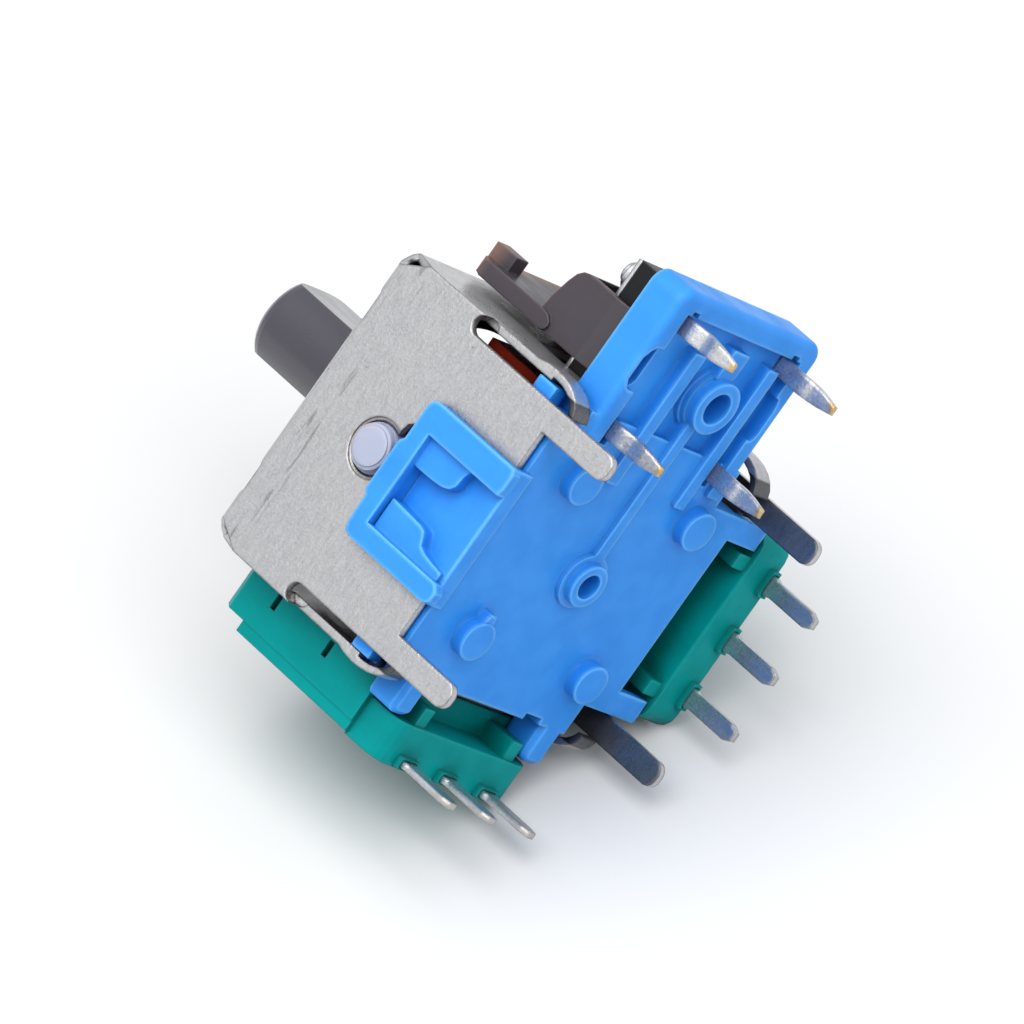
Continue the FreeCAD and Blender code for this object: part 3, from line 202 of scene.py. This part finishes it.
# %% Start the moulded plastic group
plastic, inp, out = new_group(
    "moulded_plastic",
    [
        ("Colour", "NodeSocketColor", (0.1, 0.4, 0.9, 1)),
        ("Shade", "NodeSocketColor", (0.05, 0.2, 0.6, 1)),
        ("Fleck", "NodeSocketFloat", 0.1),
        ("Grain", "NodeSocketFloat", 0.05),
        ("Edge Radius", "NodeSocketFloat", 0.11 * MM),
        ("Gloss", "NodeSocketFloat", 0.0),
        # The recess colour is the painted shade for corners; the edge colour is the painted highlight for
        # edges.
        ("Recess Shade", "NodeSocketColor", (0.5, 0.5, 0.5, 1)),
        ("Edge", "NodeSocketColor", (0.2, 0.2, 0.2, 1)),
        ("Edge Amount", "NodeSocketFloat", 0.3),
        ("Warm Height", "NodeSocketFloat", 1.0),
    ],
    [("Colour", "NodeSocketColor"), ("Roughness", "NodeSocketFloat"), ("Normal", "NodeSocketVector")],
)
where = add(plastic, "ShaderNodeTexCoord", -900, -300).outputs["Object"]
print("inputs:", len(inp.outputs) - 1)

# %% [markdown]
# Up close the colour drifts a little where the melt flowed, and faint pale flecks sit
# in it. A wide noise and a finer one, drawn out along the height, blend the colour
# towards its shade. A third, very fine one gives the flecks.

# %% Plastic: drifting colour and flecks
CLOUD_SHARE = 0.3
DRIFT_AMOUNT = 0.22
FLECK_WHITE = (0.85, 0.9, 0.95, 1)

cloud = spread(plastic, -500, 200, noise(plastic, -700, 200, where, 260.0, 2.0), 0.3, 0.7)
flow_space = stretched(plastic, -860, 0, where, (1, 1, 0.35))
flow = spread(plastic, -500, 0, noise(plastic, -700, 0, flow_space, 900.0, 4.0), 0.4, 0.62)
speck = spread(plastic, -500, -200, noise(plastic, -700, -200, where, 9000.0, 2.0), 0.66, 0.8)
drift = calculate(plastic, -320, 120, "MULTIPLY_ADD", cloud, CLOUD_SHARE, flow)
drift = calculate(plastic, -160, 120, "MULTIPLY", drift, DRIFT_AMOUNT)
toned = mix_colours(plastic, 20, 140, drift, inp.outputs["Colour"], inp.outputs["Shade"])
fleck_amount = product(plastic, -300, -200, speck, inp.outputs["Fleck"])
flecked = mix_colours(plastic, 220, 60, fleck_amount, toned, FLECK_WHITE)
print("nodes so far:", len(plastic.nodes))

# %% [markdown]
# In corners and pockets the light bounces from plastic to plastic and the colour
# turns deeper. Here that is painted shade: wherever the surface has close neighbours,
# a recess shade colour is multiplied in.

# %% Plastic: painted shade in corners
POCKET_REACH = 1.4 * MM

open_plastic = openness(plastic, 20, 460, POCKET_REACH)
pocket_shade_mask = spread(plastic, 220, 460, open_plastic, 0.85, 0.35)
pocket_shaded_colour = mix_colours(plastic, 400, 300, 1.0, flecked, inp.outputs["Recess Shade"])
pocket_shaded_colour.node.blend_type = "MULTIPLY"
with_pocket_shade = mix_colours(plastic, 560, 160, pocket_shade_mask, flecked, pocket_shaded_colour)
print("reach of a pocket in mm:", round(POCKET_REACH / MM, 2))

# %% [markdown]
# The steel mould has left a very fine texture, and the shine changes a little with
# the flow of the melt. Both are small, but without them the plastic looks like paint.

# %% Plastic: shine and mould texture
TEXTURE_DEPTH = 0.02 * MM

rough = spread(plastic, 20, -120, flow, 0.0, 1.0, 0.38, 0.5)
plug(plastic, out.inputs["Roughness"], calculate(plastic, 220, -120, "SUBTRACT", rough, inp.outputs["Gloss"]))
soft = soft_edges(plastic, 80, -520, inp.outputs["Edge Radius"])
fine = noise(plastic, -100, -420, where, 7000.0, 3.0)
textured = relief(plastic, 300, -320, fine, inp.outputs["Grain"], TEXTURE_DEPTH, soft)
plug(plastic, out.inputs["Normal"], textured)
print("texture depth in mm:", round(TEXTURE_DEPTH / MM, 3))

# %% [markdown]
# Edges get a painted highlight, a paler tone, but only where the surface stands
# free. A corner deep in a pocket gets none.

# %% Plastic: painted edge highlights
# Painted highlight: free edges are blended towards the paler edge colour.
edges = edge_mask(plastic, 300, 700, soft, 0.8, 0.998)
free = spread(plastic, 300, 900, open_plastic, 0.6, 0.9)
edge_highlight_mask = product(plastic, 500, 800, edges, free, inp.outputs["Edge Amount"])
with_edge_highlight = mix_colours(plastic, 700, 300, edge_highlight_mask, with_pocket_shade, inp.outputs["Edge"])
print("nodes so far:", len(plastic.nodes))

# %% [markdown]
# The thin upper end of the arm lets a warm light through. Real light passing through
# is slow to render, so a warm brown comes in above a given height instead. A piece
# that has no such end keeps the starting height of a metre, which it never reaches.

# %% Plastic: the warm upper end
WARM_BROWN = (0.19, 0.105, 0.07, 1)
WARM_FADE = 0.7 * MM
WARM_AMOUNT = 0.55

axes = add(plastic, "ShaderNodeSeparateXYZ", 500, 1100)
plug(plastic, axes.inputs[0], where)
over = calculate(plastic, 700, 1100, "SUBTRACT", axes.outputs["Z"], inp.outputs["Warm Height"])
warmth = spread(plastic, 900, 1100, over, 0.0, WARM_FADE, 0.0, WARM_AMOUNT)
plug(plastic, out.inputs["Colour"], mix_colours(plastic, 1100, 300, warmth, with_edge_highlight, WARM_BROWN))
print("group:", plastic.name, "nodes:", len(plastic.nodes))

# %% [markdown]
# ## Tin-plated sheet
#
# The can is thin rolled steel with a satin tin skin. The same recipe, with other
# numbers, serves the small bright steel pieces.

# %% Start the rolled sheet group
sheet, inp, out = new_group(
    "rolled_sheet",
    [
        ("Colour", "NodeSocketColor", (0.7, 0.7, 0.7, 1)),
        ("Dark", "NodeSocketColor", (0.3, 0.3, 0.3, 1)),
        ("Grain", "NodeSocketFloat", 0.4),
        ("Stain", "NodeSocketFloat", 0.4),
        # How much painted shade goes on the inside of the can.
        ("Dull Inside", "NodeSocketFloat", 0.9),
        ("Rubs", "NodeSocketFloat", 0.0),
    ],
    [("Colour", "NodeSocketColor"), ("Roughness", "NodeSocketFloat"), ("Normal", "NodeSocketVector")],
)
where = add(sheet, "ShaderNodeTexCoord", -1300, -300).outputs["Object"]
axes = add(sheet, "ShaderNodeSeparateXYZ", -1100, 800)
plug(sheet, axes.inputs[0], where)
print("inputs:", len(inp.outputs) - 1)

# %% [markdown]
# From close by the tin is a fine, slightly mottled grey with a faint grain along X
# from the rolling mill, some wide stains and many tiny dark pits. The grain and the
# stains are noises that are drawn out along X.

# %% Sheet: grain, stains and pits
MOTTLE_SHARE = 0.75
PIT_AMOUNT = 0.6
PIT_BROWN = (0.16, 0.15, 0.14, 1)

grain_space = stretched(sheet, -1100, 200, where, (0.3, 1.0, 1.0))
grain = spread(sheet, -500, 300, noise(sheet, -700, 300, grain_space, 5600.0, 4.0, 0.6), 0.36, 0.66, 0.0, 0.6)
mottle = spread(sheet, -500, 500, noise(sheet, -700, 500, where, 10500.0, 3.0, 0.6), 0.38, 0.68)
stain_space = stretched(sheet, -880, 100, where, (0.45, 1.0, 1.0))
stain = spread(sheet, -500, 100, noise(sheet, -700, 100, stain_space, 620.0, 6.0, 0.65), 0.4, 0.68)
pits = spread(sheet, -500, -100, noise(sheet, -700, -100, where, 4300.0, 4.0, 0.75), 0.64, 0.72)

rolled = calculate(sheet, -420, 400, "MULTIPLY_ADD", mottle, MOTTLE_SHARE, grain)
grain_part = calculate(sheet, -300, 300, "MULTIPLY", rolled, inp.outputs["Grain"], use_clamp=True)
stain_part = product(sheet, -300, 100, stain, inp.outputs["Stain"])
pit_part = product(sheet, -300, -100, pits, PIT_AMOUNT)
grained = mix_colours(sheet, -80, 240, grain_part, inp.outputs["Colour"], inp.outputs["Dark"])
stained = mix_colours(sheet, 120, 180, stain_part, grained, inp.outputs["Dark"])
pitted = mix_colours(sheet, 320, 120, pit_part, stained, PIT_BROWN)
print("nodes so far:", len(sheet.nodes))

# %% [markdown]
# A few long thin rub marks run along X, in a band under the top edge of the front
# wall. The band is cut out with ramps: two along the height, and one that lets only
# the front wall through.

# %% Sheet: rub marks on the front wall
RUB_DARK = (0.12, 0.115, 0.11, 1)
BAND_STARTS = (8.3 * MM, 8.8 * MM)
BAND_ENDS = (9.5 * MM, 9.3 * MM)
FRONT_WALL = (-6.4 * MM, -6.6 * MM)

rub_space = stretched(sheet, -1100, -600, where, (0.12, 1.0, 1.0))
rub = spread(sheet, -700, -600, noise(sheet, -900, -600, rub_space, 5200.0, 2.0), 0.6, 0.66)
band_low = spread(sheet, -700, -800, axes.outputs["Z"], *BAND_STARTS)
band_high = spread(sheet, -700, -1000, axes.outputs["Z"], *BAND_ENDS)
front = spread(sheet, -700, -1200, axes.outputs["Y"], *FRONT_WALL)
rub_part = product(sheet, -500, -700, inp.outputs["Rubs"], rub, band_low, band_high, front)
rubbed = mix_colours(sheet, 400, 260, rub_part, pitted, RUB_DARK)
print("nodes so far:", len(sheet.nodes))

# %% [markdown]
# Inside the can hardly any light gets in, so the tin there gets a painted shade. The
# recipe finds the inside from the object's own coordinates: the walls stand about
# 5.9 mm and 6.5 mm from the middle, and the top's outer face, which stays bright,
# lies at 10 mm. The inner faces of the legs, under the walls, get a little less shade.

# %% Sheet: painted shade inside
INSIDE_SHADE = (0.015, 0.02, 0.03, 1)
SIDE_WALLS = (5.93 * MM, 5.86 * MM)
END_WALLS = (6.56 * MM, 6.46 * MM)
LEG_ROOTS = (0.45 * MM, 0.75 * MM)
LEG_SHADE_STRENGTH = 0.84
OUTER_TOP = (10.0 * MM, 9.85 * MM)

ramps = []
for label, wall, height in (("X", SIDE_WALLS, 900), ("Y", END_WALLS, 1050)):
    from_middle = calculate(sheet, -900, height, "ABSOLUTE", axes.outputs[label])
    ramps.append(spread(sheet, -700, height, from_middle, *wall))
ramps.append(spread(sheet, -700, 750, axes.outputs["Z"], *LEG_ROOTS, LEG_SHADE_STRENGTH, 1.0))
ramps.append(spread(sheet, -700, 600, axes.outputs["Z"], *OUTER_TOP))
inside_shade_mask = product(sheet, -300, 800, *ramps, inp.outputs["Dull Inside"])
inside_shaded = mix_colours(sheet, 500, 120, inside_shade_mask, rubbed, INSIDE_SHADE)
print("ramps:", len(ramps))

# %% [markdown]
# Tight gaps and folds get a painted shade, which is found in the same way as the
# plastic's pockets, with a shorter reach. The stains also change the shine, and the
# grain gives the relief.

# %% Sheet: painted shade in gaps, shine and relief
GAP_SHADE = (0.05, 0.045, 0.04, 1)
GAP_REACH = 0.7 * MM
GRAIN_STRENGTH = 0.4
GRAIN_DEPTH = 0.014 * MM
SHEET_EDGE = 0.14 * MM

gap_shade_mask = spread(sheet, 480, 460, openness(sheet, 300, 460, GAP_REACH), 0.75, 0.3, 0.0, 0.8)
gap_shaded = mix_colours(sheet, 620, 240, gap_shade_mask, inside_shaded, GAP_SHADE)
plug(sheet, out.inputs["Roughness"], spread(sheet, 120, -100, stain, 0.0, 1.0, 0.27, 0.42))
soft = soft_edges(sheet, 180, -520, SHEET_EDGE)
plug(sheet, out.inputs["Normal"], relief(sheet, 420, -320, rolled, GRAIN_STRENGTH, GRAIN_DEPTH, soft))
print("grain depth in mm:", round(GRAIN_DEPTH / MM, 3))

# %% [markdown]
# The edges of the sheet are darkened, and a noise makes that dark line uneven.

# %% Sheet: darker edges
EDGE_DARK_COLOUR = (0.06, 0.052, 0.045, 1)

cut = edge_mask(sheet, 700, 700, soft, 0.8, 0.985)
edge_unevenness = spread(sheet, 700, 900, noise(sheet, 500, 900, where, 2600.0, 3.0, 0.6), 0.35, 0.65, 0.35, 0.9)
cut_part = product(sheet, 880, 800, cut, edge_unevenness)
plug(sheet, out.inputs["Colour"], mix_colours(sheet, 1060, 300, cut_part, gap_shaded, EDGE_DARK_COLOUR))
print("group:", sheet.name, "nodes:", len(sheet.nodes))

# %% [markdown]
# ## Pin metal
#
# The solder pins are plated silver, but their lowest part has another tone: a warm
# straw-gold on the switch's pins, a duller grey on the sensors'. The recipe turns the
# height into a soft mask, with a noise to make its edge uneven.

# %% The pin metal group: silver with toned tips
TIP_WANDER = 0.3 * MM

pin_metal, inp, out = new_group(
    "pin_metal",
    [
        ("Colour", "NodeSocketColor", (0.6, 0.62, 0.64, 1)),
        ("Tip", "NodeSocketColor", (0.7, 0.52, 0.28, 1)),
        ("Start Height", "NodeSocketFloat", -1.2 * MM),
        ("End Height", "NodeSocketFloat", -2.4 * MM),
    ],
    [("Colour", "NodeSocketColor"), ("Roughness", "NodeSocketFloat"), ("Normal", "NodeSocketVector")],
)
where = add(pin_metal, "ShaderNodeTexCoord", -1100, -300).outputs["Object"]
axes = add(pin_metal, "ShaderNodeSeparateXYZ", -900, 200)
plug(pin_metal, axes.inputs[0], where)
wander = noise(pin_metal, -900, 0, where, 2500.0)
wander = spread(pin_metal, -700, 0, wander, 0.3, 0.7, -TIP_WANDER, TIP_WANDER)
height = calculate(pin_metal, -500, 200, "ADD", axes.outputs["Z"], wander)
tip_mask = spread(pin_metal, -300, 200, height, inp.outputs["Start Height"], inp.outputs["End Height"])
print("nodes so far:", len(pin_metal.nodes))

# %% [markdown]
# Handling and solder flux leave dark streaks along a pin. They show only where a
# second noise agrees, which breaks them into blotches.

# %% The pin metal group: streaks, shine and relief
STREAK_DARK = (0.2, 0.195, 0.19, 1)
STREAK_AMOUNT = 0.8
BLOTCH_STRENGTH = 0.3
BLOTCH_DEPTH = 0.01 * MM
PIN_EDGE = 0.18 * MM

streak_space = stretched(pin_metal, -880, -200, where, (1, 1, 0.1))
streak = spread(pin_metal, -500, -200, noise(pin_metal, -700, -200, streak_space, 6000.0), 0.35, 0.7)
blotch = spread(pin_metal, -500, -400, noise(pin_metal, -700, -400, where, 8500.0, 3.0, 0.6), 0.36, 0.66)
streak_part = product(pin_metal, -300, -60, streak, blotch, STREAK_AMOUNT)
silvered = mix_colours(pin_metal, -80, 60, streak_part, inp.outputs["Colour"], STREAK_DARK)
tipped = mix_colours(pin_metal, 120, 120, tip_mask, silvered, inp.outputs["Tip"])
plug(pin_metal, out.inputs["Colour"], tipped)
plug(pin_metal, out.inputs["Roughness"], spread(pin_metal, 120, -100, streak, 0.0, 1.0, 0.25, 0.4))
soft = soft_edges(pin_metal, 120, -520, PIN_EDGE, samples=4)
spotted = relief(pin_metal, 320, -320, blotch, BLOTCH_STRENGTH, BLOTCH_DEPTH, soft)
plug(pin_metal, out.inputs["Normal"], spotted)
print("group:", pin_metal.name, "nodes:", len(pin_metal.nodes))

# %% [markdown]
# ## The finishes
#
# Each finish is one material that wires a group into a Principled shader. Plain
# constants, such as how metallic a finish is, are set straight on the shader.

# %% One material from one recipe
def finish_of(name, group, settings, **constants):
    material = bpy.data.materials.new(name)
    material.use_nodes = True
    tree = material.node_tree
    shader = tree.nodes["Principled BSDF"]
    recipe = add(tree, "ShaderNodeGroup", -320, 100)
    recipe.node_tree = group
    for label, value in settings.items():
        recipe.inputs[label].default_value = value
    tree.links.new(recipe.outputs["Colour"], shader.inputs["Base Color"])
    tree.links.new(recipe.outputs["Roughness"], shader.inputs["Roughness"])
    tree.links.new(recipe.outputs["Normal"], shader.inputs["Normal"])
    for label, value in constants.items():
        shader.inputs[label.replace("_", " ")].default_value = value
    return material


print("ready to mix finishes")

# %% [markdown]
# The three colours that the eye meets first are the blue of the base, the green of
# the two turn sensors and the dark grey of the stick. The blue lets some light in
# under its skin. The stick is a harder, shinier plastic, so it gets a coat.

# %% Blue, green and dark grey
# In each moulding, the recess colour is a painted shade for corners and pockets, and the edge colour a
# painted highlight for free edges.
blue = finish_of(
    "blue_moulding", plastic,
    {
        "Colour": (0.026, 0.225, 0.65, 1), "Shade": (0.012, 0.14, 0.48, 1), "Fleck": 0.03, "Grain": 0.12,
        "Edge Radius": 0.26 * MM, "Recess Shade": (0.4, 0.76, 0.9, 1),
        "Edge": (0.16, 0.5, 1.0, 1), "Edge Amount": 0.8,
    },
    Subsurface_Weight=0.2, Subsurface_Scale=0.6 * MM, Subsurface_Radius=(0.25, 0.6, 1.0),
    Specular_IOR_Level=0.2,
)
green = finish_of(
    "green_moulding", plastic,
    {
        "Colour": (0.0, 0.225, 0.225, 1), "Shade": (0.0, 0.12, 0.11, 1), "Fleck": 0.01, "Grain": 0.1,
        "Edge Radius": 0.2 * MM, "Recess Shade": (0.3, 0.4, 0.36, 1),
        "Edge": (0.02, 0.38, 0.36, 1), "Edge Amount": 0.4,
    },
    Specular_IOR_Level=0.06,
)
dark_grey = finish_of(
    "dark_grey_moulding", plastic,
    {
        "Colour": (0.034, 0.031, 0.043, 1), "Shade": (0.024, 0.021, 0.031, 1), "Fleck": 0.0,
        "Grain": 0.06, "Gloss": 0.14,
    },
    Coat_Weight=0.75, Coat_Roughness=0.18, Specular_IOR_Level=0.35,
)
print("made:", blue.name, green.name, dark_grey.name)

# %% [markdown]
# The arm over the switch is a grey-brown plastic with painted highlights on its
# edges. It is the one piece with a warm upper end. Behind it, the lower gimbal is a
# dark brown and the spring plate a deep red-brown, with a painted shade that turns it
# almost black in its corners.

# %% Taupe, brown and red-brown
ARM_WARM_ABOVE = 8.7 * MM

taupe = finish_of(
    "taupe_moulding", plastic,
    {
        "Colour": (0.04, 0.033, 0.042, 1), "Shade": (0.026, 0.018, 0.02, 1), "Fleck": 0.0, "Grain": 0.1,
        "Edge": (0.13, 0.095, 0.09, 1), "Edge Amount": 0.5, "Warm Height": ARM_WARM_ABOVE,
    },
    Specular_IOR_Level=0.4,
    Subsurface_Weight=0.3, Subsurface_Scale=0.7 * MM, Subsurface_Radius=(1.0, 0.25, 0.15),
)
brown = finish_of(
    "brown_moulding", plastic,
    {"Colour": (0.085, 0.012, 0.006, 1), "Shade": (0.04, 0.005, 0.002, 1), "Fleck": 0.0, "Grain": 0.2},
    Specular_IOR_Level=0.2,
)
red_brown = finish_of(
    "red_brown_moulding", plastic,
    {
        "Colour": (0.3, 0.02, 0.006, 1), "Shade": (0.12, 0.008, 0.002, 1), "Fleck": 0.0, "Grain": 0.2,
        "Recess Shade": (0.1, 0.1, 0.1, 1), "Edge Amount": 0.0,
    },
    Specular_IOR_Level=0.05,
)
print("made:", taupe.name, brown.name, red_brown.name)

# %% [markdown]
# The upper gimbal and the sensors' rotors are whitish and let light in. The push
# switch is black. The sensors' resistor tracks lie on a small brown board.

# %% Pale, black and board
pale = finish_of(
    "pale_moulding", plastic,
    {
        "Colour": (0.31, 0.335, 0.43, 1), "Shade": (0.25, 0.275, 0.37, 1), "Fleck": 0.05, "Grain": 0.1,
        "Edge Radius": 0.3 * MM, "Edge": (0.5, 0.52, 0.6, 1), "Recess Shade": (0.7, 0.72, 0.8, 1),
    },
    Subsurface_Weight=0.4, Subsurface_Scale=1.0 * MM, Specular_IOR_Level=0.3,
)
black = finish_of(
    "black_moulding", plastic,
    {"Colour": (0.006, 0.006, 0.007, 1), "Shade": (0.003, 0.003, 0.004, 1), "Fleck": 0.0, "Grain": 0.2},
    Specular_IOR_Level=0.2,
)
board = finish_of(
    "track_board", plastic,
    {"Colour": (0.25, 0.13, 0.06, 1), "Shade": (0.16, 0.08, 0.03, 1), "Fleck": 0.1, "Grain": 0.1},
)
print("made:", pale.name, black.name, board.name)

# %% [markdown]
# Five metals follow. The can is tin over steel and the only one with rub marks and a
# painted shade inside. The small steel pieces are brighter. The sensors' pins end in a
# greyer tip, the switch's pins in a gold-toned one, and the sensors' wipers are brass.

# %% Metals
tin = finish_of(
    "tinned_sheet", sheet,
    {
        "Colour": (0.58, 0.575, 0.58, 1), "Dark": (0.33, 0.32, 0.32, 1), "Grain": 0.5, "Stain": 0.35,
        "Dull Inside": 0.95, "Rubs": 0.45,
    },
    Metallic=0.9,
)
bright_steel = finish_of(
    "bright_steel", sheet,
    {
        "Colour": (0.66, 0.66, 0.68, 1), "Dark": (0.35, 0.35, 0.36, 1), "Grain": 0.2, "Stain": 0.2,
        "Dull Inside": 0.0,
    },
    Metallic=0.95,
)
pins = finish_of(
    "plated_pins", pin_metal,
    {"Colour": (0.56, 0.58, 0.60, 1), "Tip": (0.45, 0.43, 0.4, 1)},
    Metallic=0.92,
)
switch_pins = finish_of(
    "switch_pins", pin_metal,
    {
        "Colour": (0.6, 0.6, 0.61, 1), "Tip": (0.62, 0.4, 0.14, 1),
        "Start Height": -1.9 * MM, "End Height": -2.3 * MM,
    },
    Metallic=0.9,
)
brass = finish_of(
    "contact_brass", pin_metal,
    {"Colour": (0.7, 0.5, 0.22, 1), "Tip": (0.7, 0.5, 0.22, 1)},
    Metallic=1.0,
)
print("finishes:", len(bpy.data.materials))

# %% [markdown]
# ## Dressing the pieces
#
# The single pieces are listed by name. The two sensors and the pins come in sets, so
# their names tell what they are made of.

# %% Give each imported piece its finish
wear = {
    "metal_can": tin, "base": blue, "stick": dark_grey, "stick_pin": bright_steel, "arch_gimbal": pale,
    "rocker": brown, "push_arm": taupe, "return_spring": bright_steel, "spring_plate": red_brown,
    "tact_body": black, "tact_cover": bright_steel, "tact_plunger": black, "tact_dome": bright_steel,
}
by_ending = {"_housing": green, "_rotor": pale, "_wiper": brass, "_element": board}
for name in nodes:
    if name.startswith("tact_terminal"):
        wear[name] = switch_pins
    elif "_terminal_" in name:
        wear[name] = pins
    for ending, finish in by_ending.items():
        if name.endswith(ending):
            wear[name] = finish
for name, obj in nodes.items():
    for slot in obj.material_slots:
        slot.material = wear[name]
print("dressed:", len(wear))

# %% [markdown]
# ## Stand-ins for the two springs
#
# A press on the stick shortens the coil spring under its foot and dents the snap dome
# of the push switch. An imported piece keeps its shape at every pose, so each of the
# two gets a stand-in: the same mesh with its loose triangles merged, hung under the
# module's body with a mesh of its own, while the imported piece is hidden.

# %% Make the spring stand-ins
MERGE_DISTANCE = 0.001 * MM


def flexing(node_name, piece_name):
    source = nodes[node_name]
    piece = bpy.data.objects.new(piece_name, source.data.copy())
    scene.collection.objects.link(piece)
    bpy.ops.object.select_all(action="DESELECT")
    piece.select_set(True)
    bpy.context.view_layer.objects.active = piece
    bpy.ops.object.mode_set(mode="EDIT")
    bpy.ops.mesh.select_all(action="SELECT")
    bpy.ops.mesh.remove_doubles(threshold=MERGE_DISTANCE)
    bpy.ops.object.mode_set(mode="OBJECT")
    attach(piece, "module")
    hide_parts(node_name)
    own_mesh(piece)


flexing("return_spring", "coil_spring")
flexing("tact_dome", "snap_dome")

# %% [markdown]
# ## The white table
#
# The module lies on the outer edges of its two turn sensors, so the table is not a
# level plane in the module's own frame. It is the plane that touches both edges. Its
# paper is a plain light grey that drifts very slightly.

# %% The table's material
PAPER_SCALE = 35.0
PAPER_GREYS = ((0.555, 0.555, 0.56, 1), (0.565, 0.565, 0.57, 1))

table = bpy.data.materials.new("white_table")
table.use_nodes = True
tree = table.node_tree
shader = tree.nodes["Principled BSDF"]
where = add(tree, "ShaderNodeTexCoord", -900, 0).outputs["Object"]
paper = mix_colours(tree, -300, 100, noise(tree, -600, 100, where, PAPER_SCALE), *PAPER_GREYS)
plug(tree, shader.inputs["Base Color"], paper)
shader.inputs["Roughness"].default_value = 0.9
print("table material:", table.name)

# %% [markdown]
# Seen from its back, the table would hide the module in the views taken from the
# other side. So the material is clear wherever a ray meets the back of the plane.

# %% Clear from behind, then the plane itself
TABLE_SIZE = 2.4
up_from_table = Vector((0.763, -0.646, 0.0)).normalized()
table_height = -9.535 * MM

clear = add(tree, "ShaderNodeBsdfTransparent", 100, -200)
facing = add(tree, "ShaderNodeNewGeometry", -100, 300)
pick = add(tree, "ShaderNodeMixShader", 400, 100)
plug(tree, pick.inputs["Fac"], facing.outputs["Backfacing"])
plug(tree, pick.inputs[1], shader.outputs["BSDF"])
plug(tree, pick.inputs[2], clear.outputs["BSDF"])
plug(tree, tree.nodes["Material Output"].inputs["Surface"], pick.outputs["Shader"])

turn = Vector((0, 0, 1)).rotation_difference(up_from_table)
bpy.ops.object.select_all(action="DESELECT")
bpy.ops.mesh.primitive_plane_add(
    size=TABLE_SIZE, location=up_from_table * table_height, rotation=turn.to_euler())
floor = bpy.context.object
floor.name = "table"
floor.data.materials.append(table)
print("table normal:", [round(v, 3) for v in up_from_table])

# %% [markdown]
# ## Light
#
# A white room gives the soft fill. One large panel above the table is the key, and
# a second, weaker one stands behind the camera so that the downward faces of the
# module are not left dark. Both are placed with the help of the camera's own three
# axes: to its right, up, and from the module toward the camera.

# %% The white room
ROOM_COLOUR = (0.93, 0.96, 1.0, 1)
ROOM_STRENGTH = 0.9

world = bpy.data.worlds.new("white_room")
scene.world = world
world.use_nodes = True
backdrop = world.node_tree.nodes["Background"]
backdrop.inputs["Color"].default_value = ROOM_COLOUR
backdrop.inputs["Strength"].default_value = ROOM_STRENGTH
print("room strength:", ROOM_STRENGTH)

# %% [markdown]
# A panel is a square area light. It is turned so that it looks straight at the middle
# of the module.

# %% The key and the fill
right = Vector((0.56684, 0.55377, -0.60995))
up = Vector((0.80677, -0.22322, 0.54708))
toward = Vector((0.16680, -0.80220, -0.57329))
middle = Vector((0.6, -2.1, 3.1)) * MM


def panel(name, offset, wide, power, colour):
    """A square light, wide metres across, that looks back at the module's middle."""
    lamp = bpy.data.lights.new(name, "AREA")
    lamp.shape = "SQUARE"
    lamp.size = wide
    lamp.energy = power
    lamp.color = colour
    obj = bpy.data.objects.new(name, lamp)
    scene.collection.objects.link(obj)
    obj.location = middle + offset
    obj.rotation_mode = "QUATERNION"
    obj.rotation_quaternion = (-offset).to_track_quat("-Z", "Y")


above_module = up_from_table * 0.35 + toward * 0.12 - right * 0.12
behind_camera = toward * 0.45 + right * 0.2 + up_from_table * 0.1
panel("key", above_module, wide=0.44, power=2.45, colour=(1.0, 0.99, 0.97))
panel("fill", behind_camera, wide=0.3, power=1.0, colour=(0.96, 0.98, 1.0))

# %% [markdown]
# ## Camera
#
# The photograph was taken from far off with a long lens, so lines stay almost
# parallel. The camera's three axes are written as the columns of its matrix. The
# plain Standard view keeps the colours as they are mixed.

# %% The camera
CAMERA_DISTANCE = 0.4544
FOCAL_LENGTH = 452.6
SENSOR_WIDTH = 36.0
aim = Vector((0.607, -2.100, 3.115)) * MM

lens = bpy.data.cameras.new("photo_camera")
lens.sensor_width = SENSOR_WIDTH
lens.lens = FOCAL_LENGTH
lens.clip_start = 0.05
lens.clip_end = 5.0
camera = bpy.data.objects.new("photo_camera", lens)
scene.collection.objects.link(camera)
turned = Matrix((right, up, toward)).transposed().to_4x4()
camera.matrix_world = Matrix.Translation(aim + toward * CAMERA_DISTANCE) @ turned
scene.camera = camera
scene.view_settings.view_transform = "Standard"
scene.view_settings.look = "None"
print("camera distance in mm:", round((camera.location - aim).length / MM, 1))
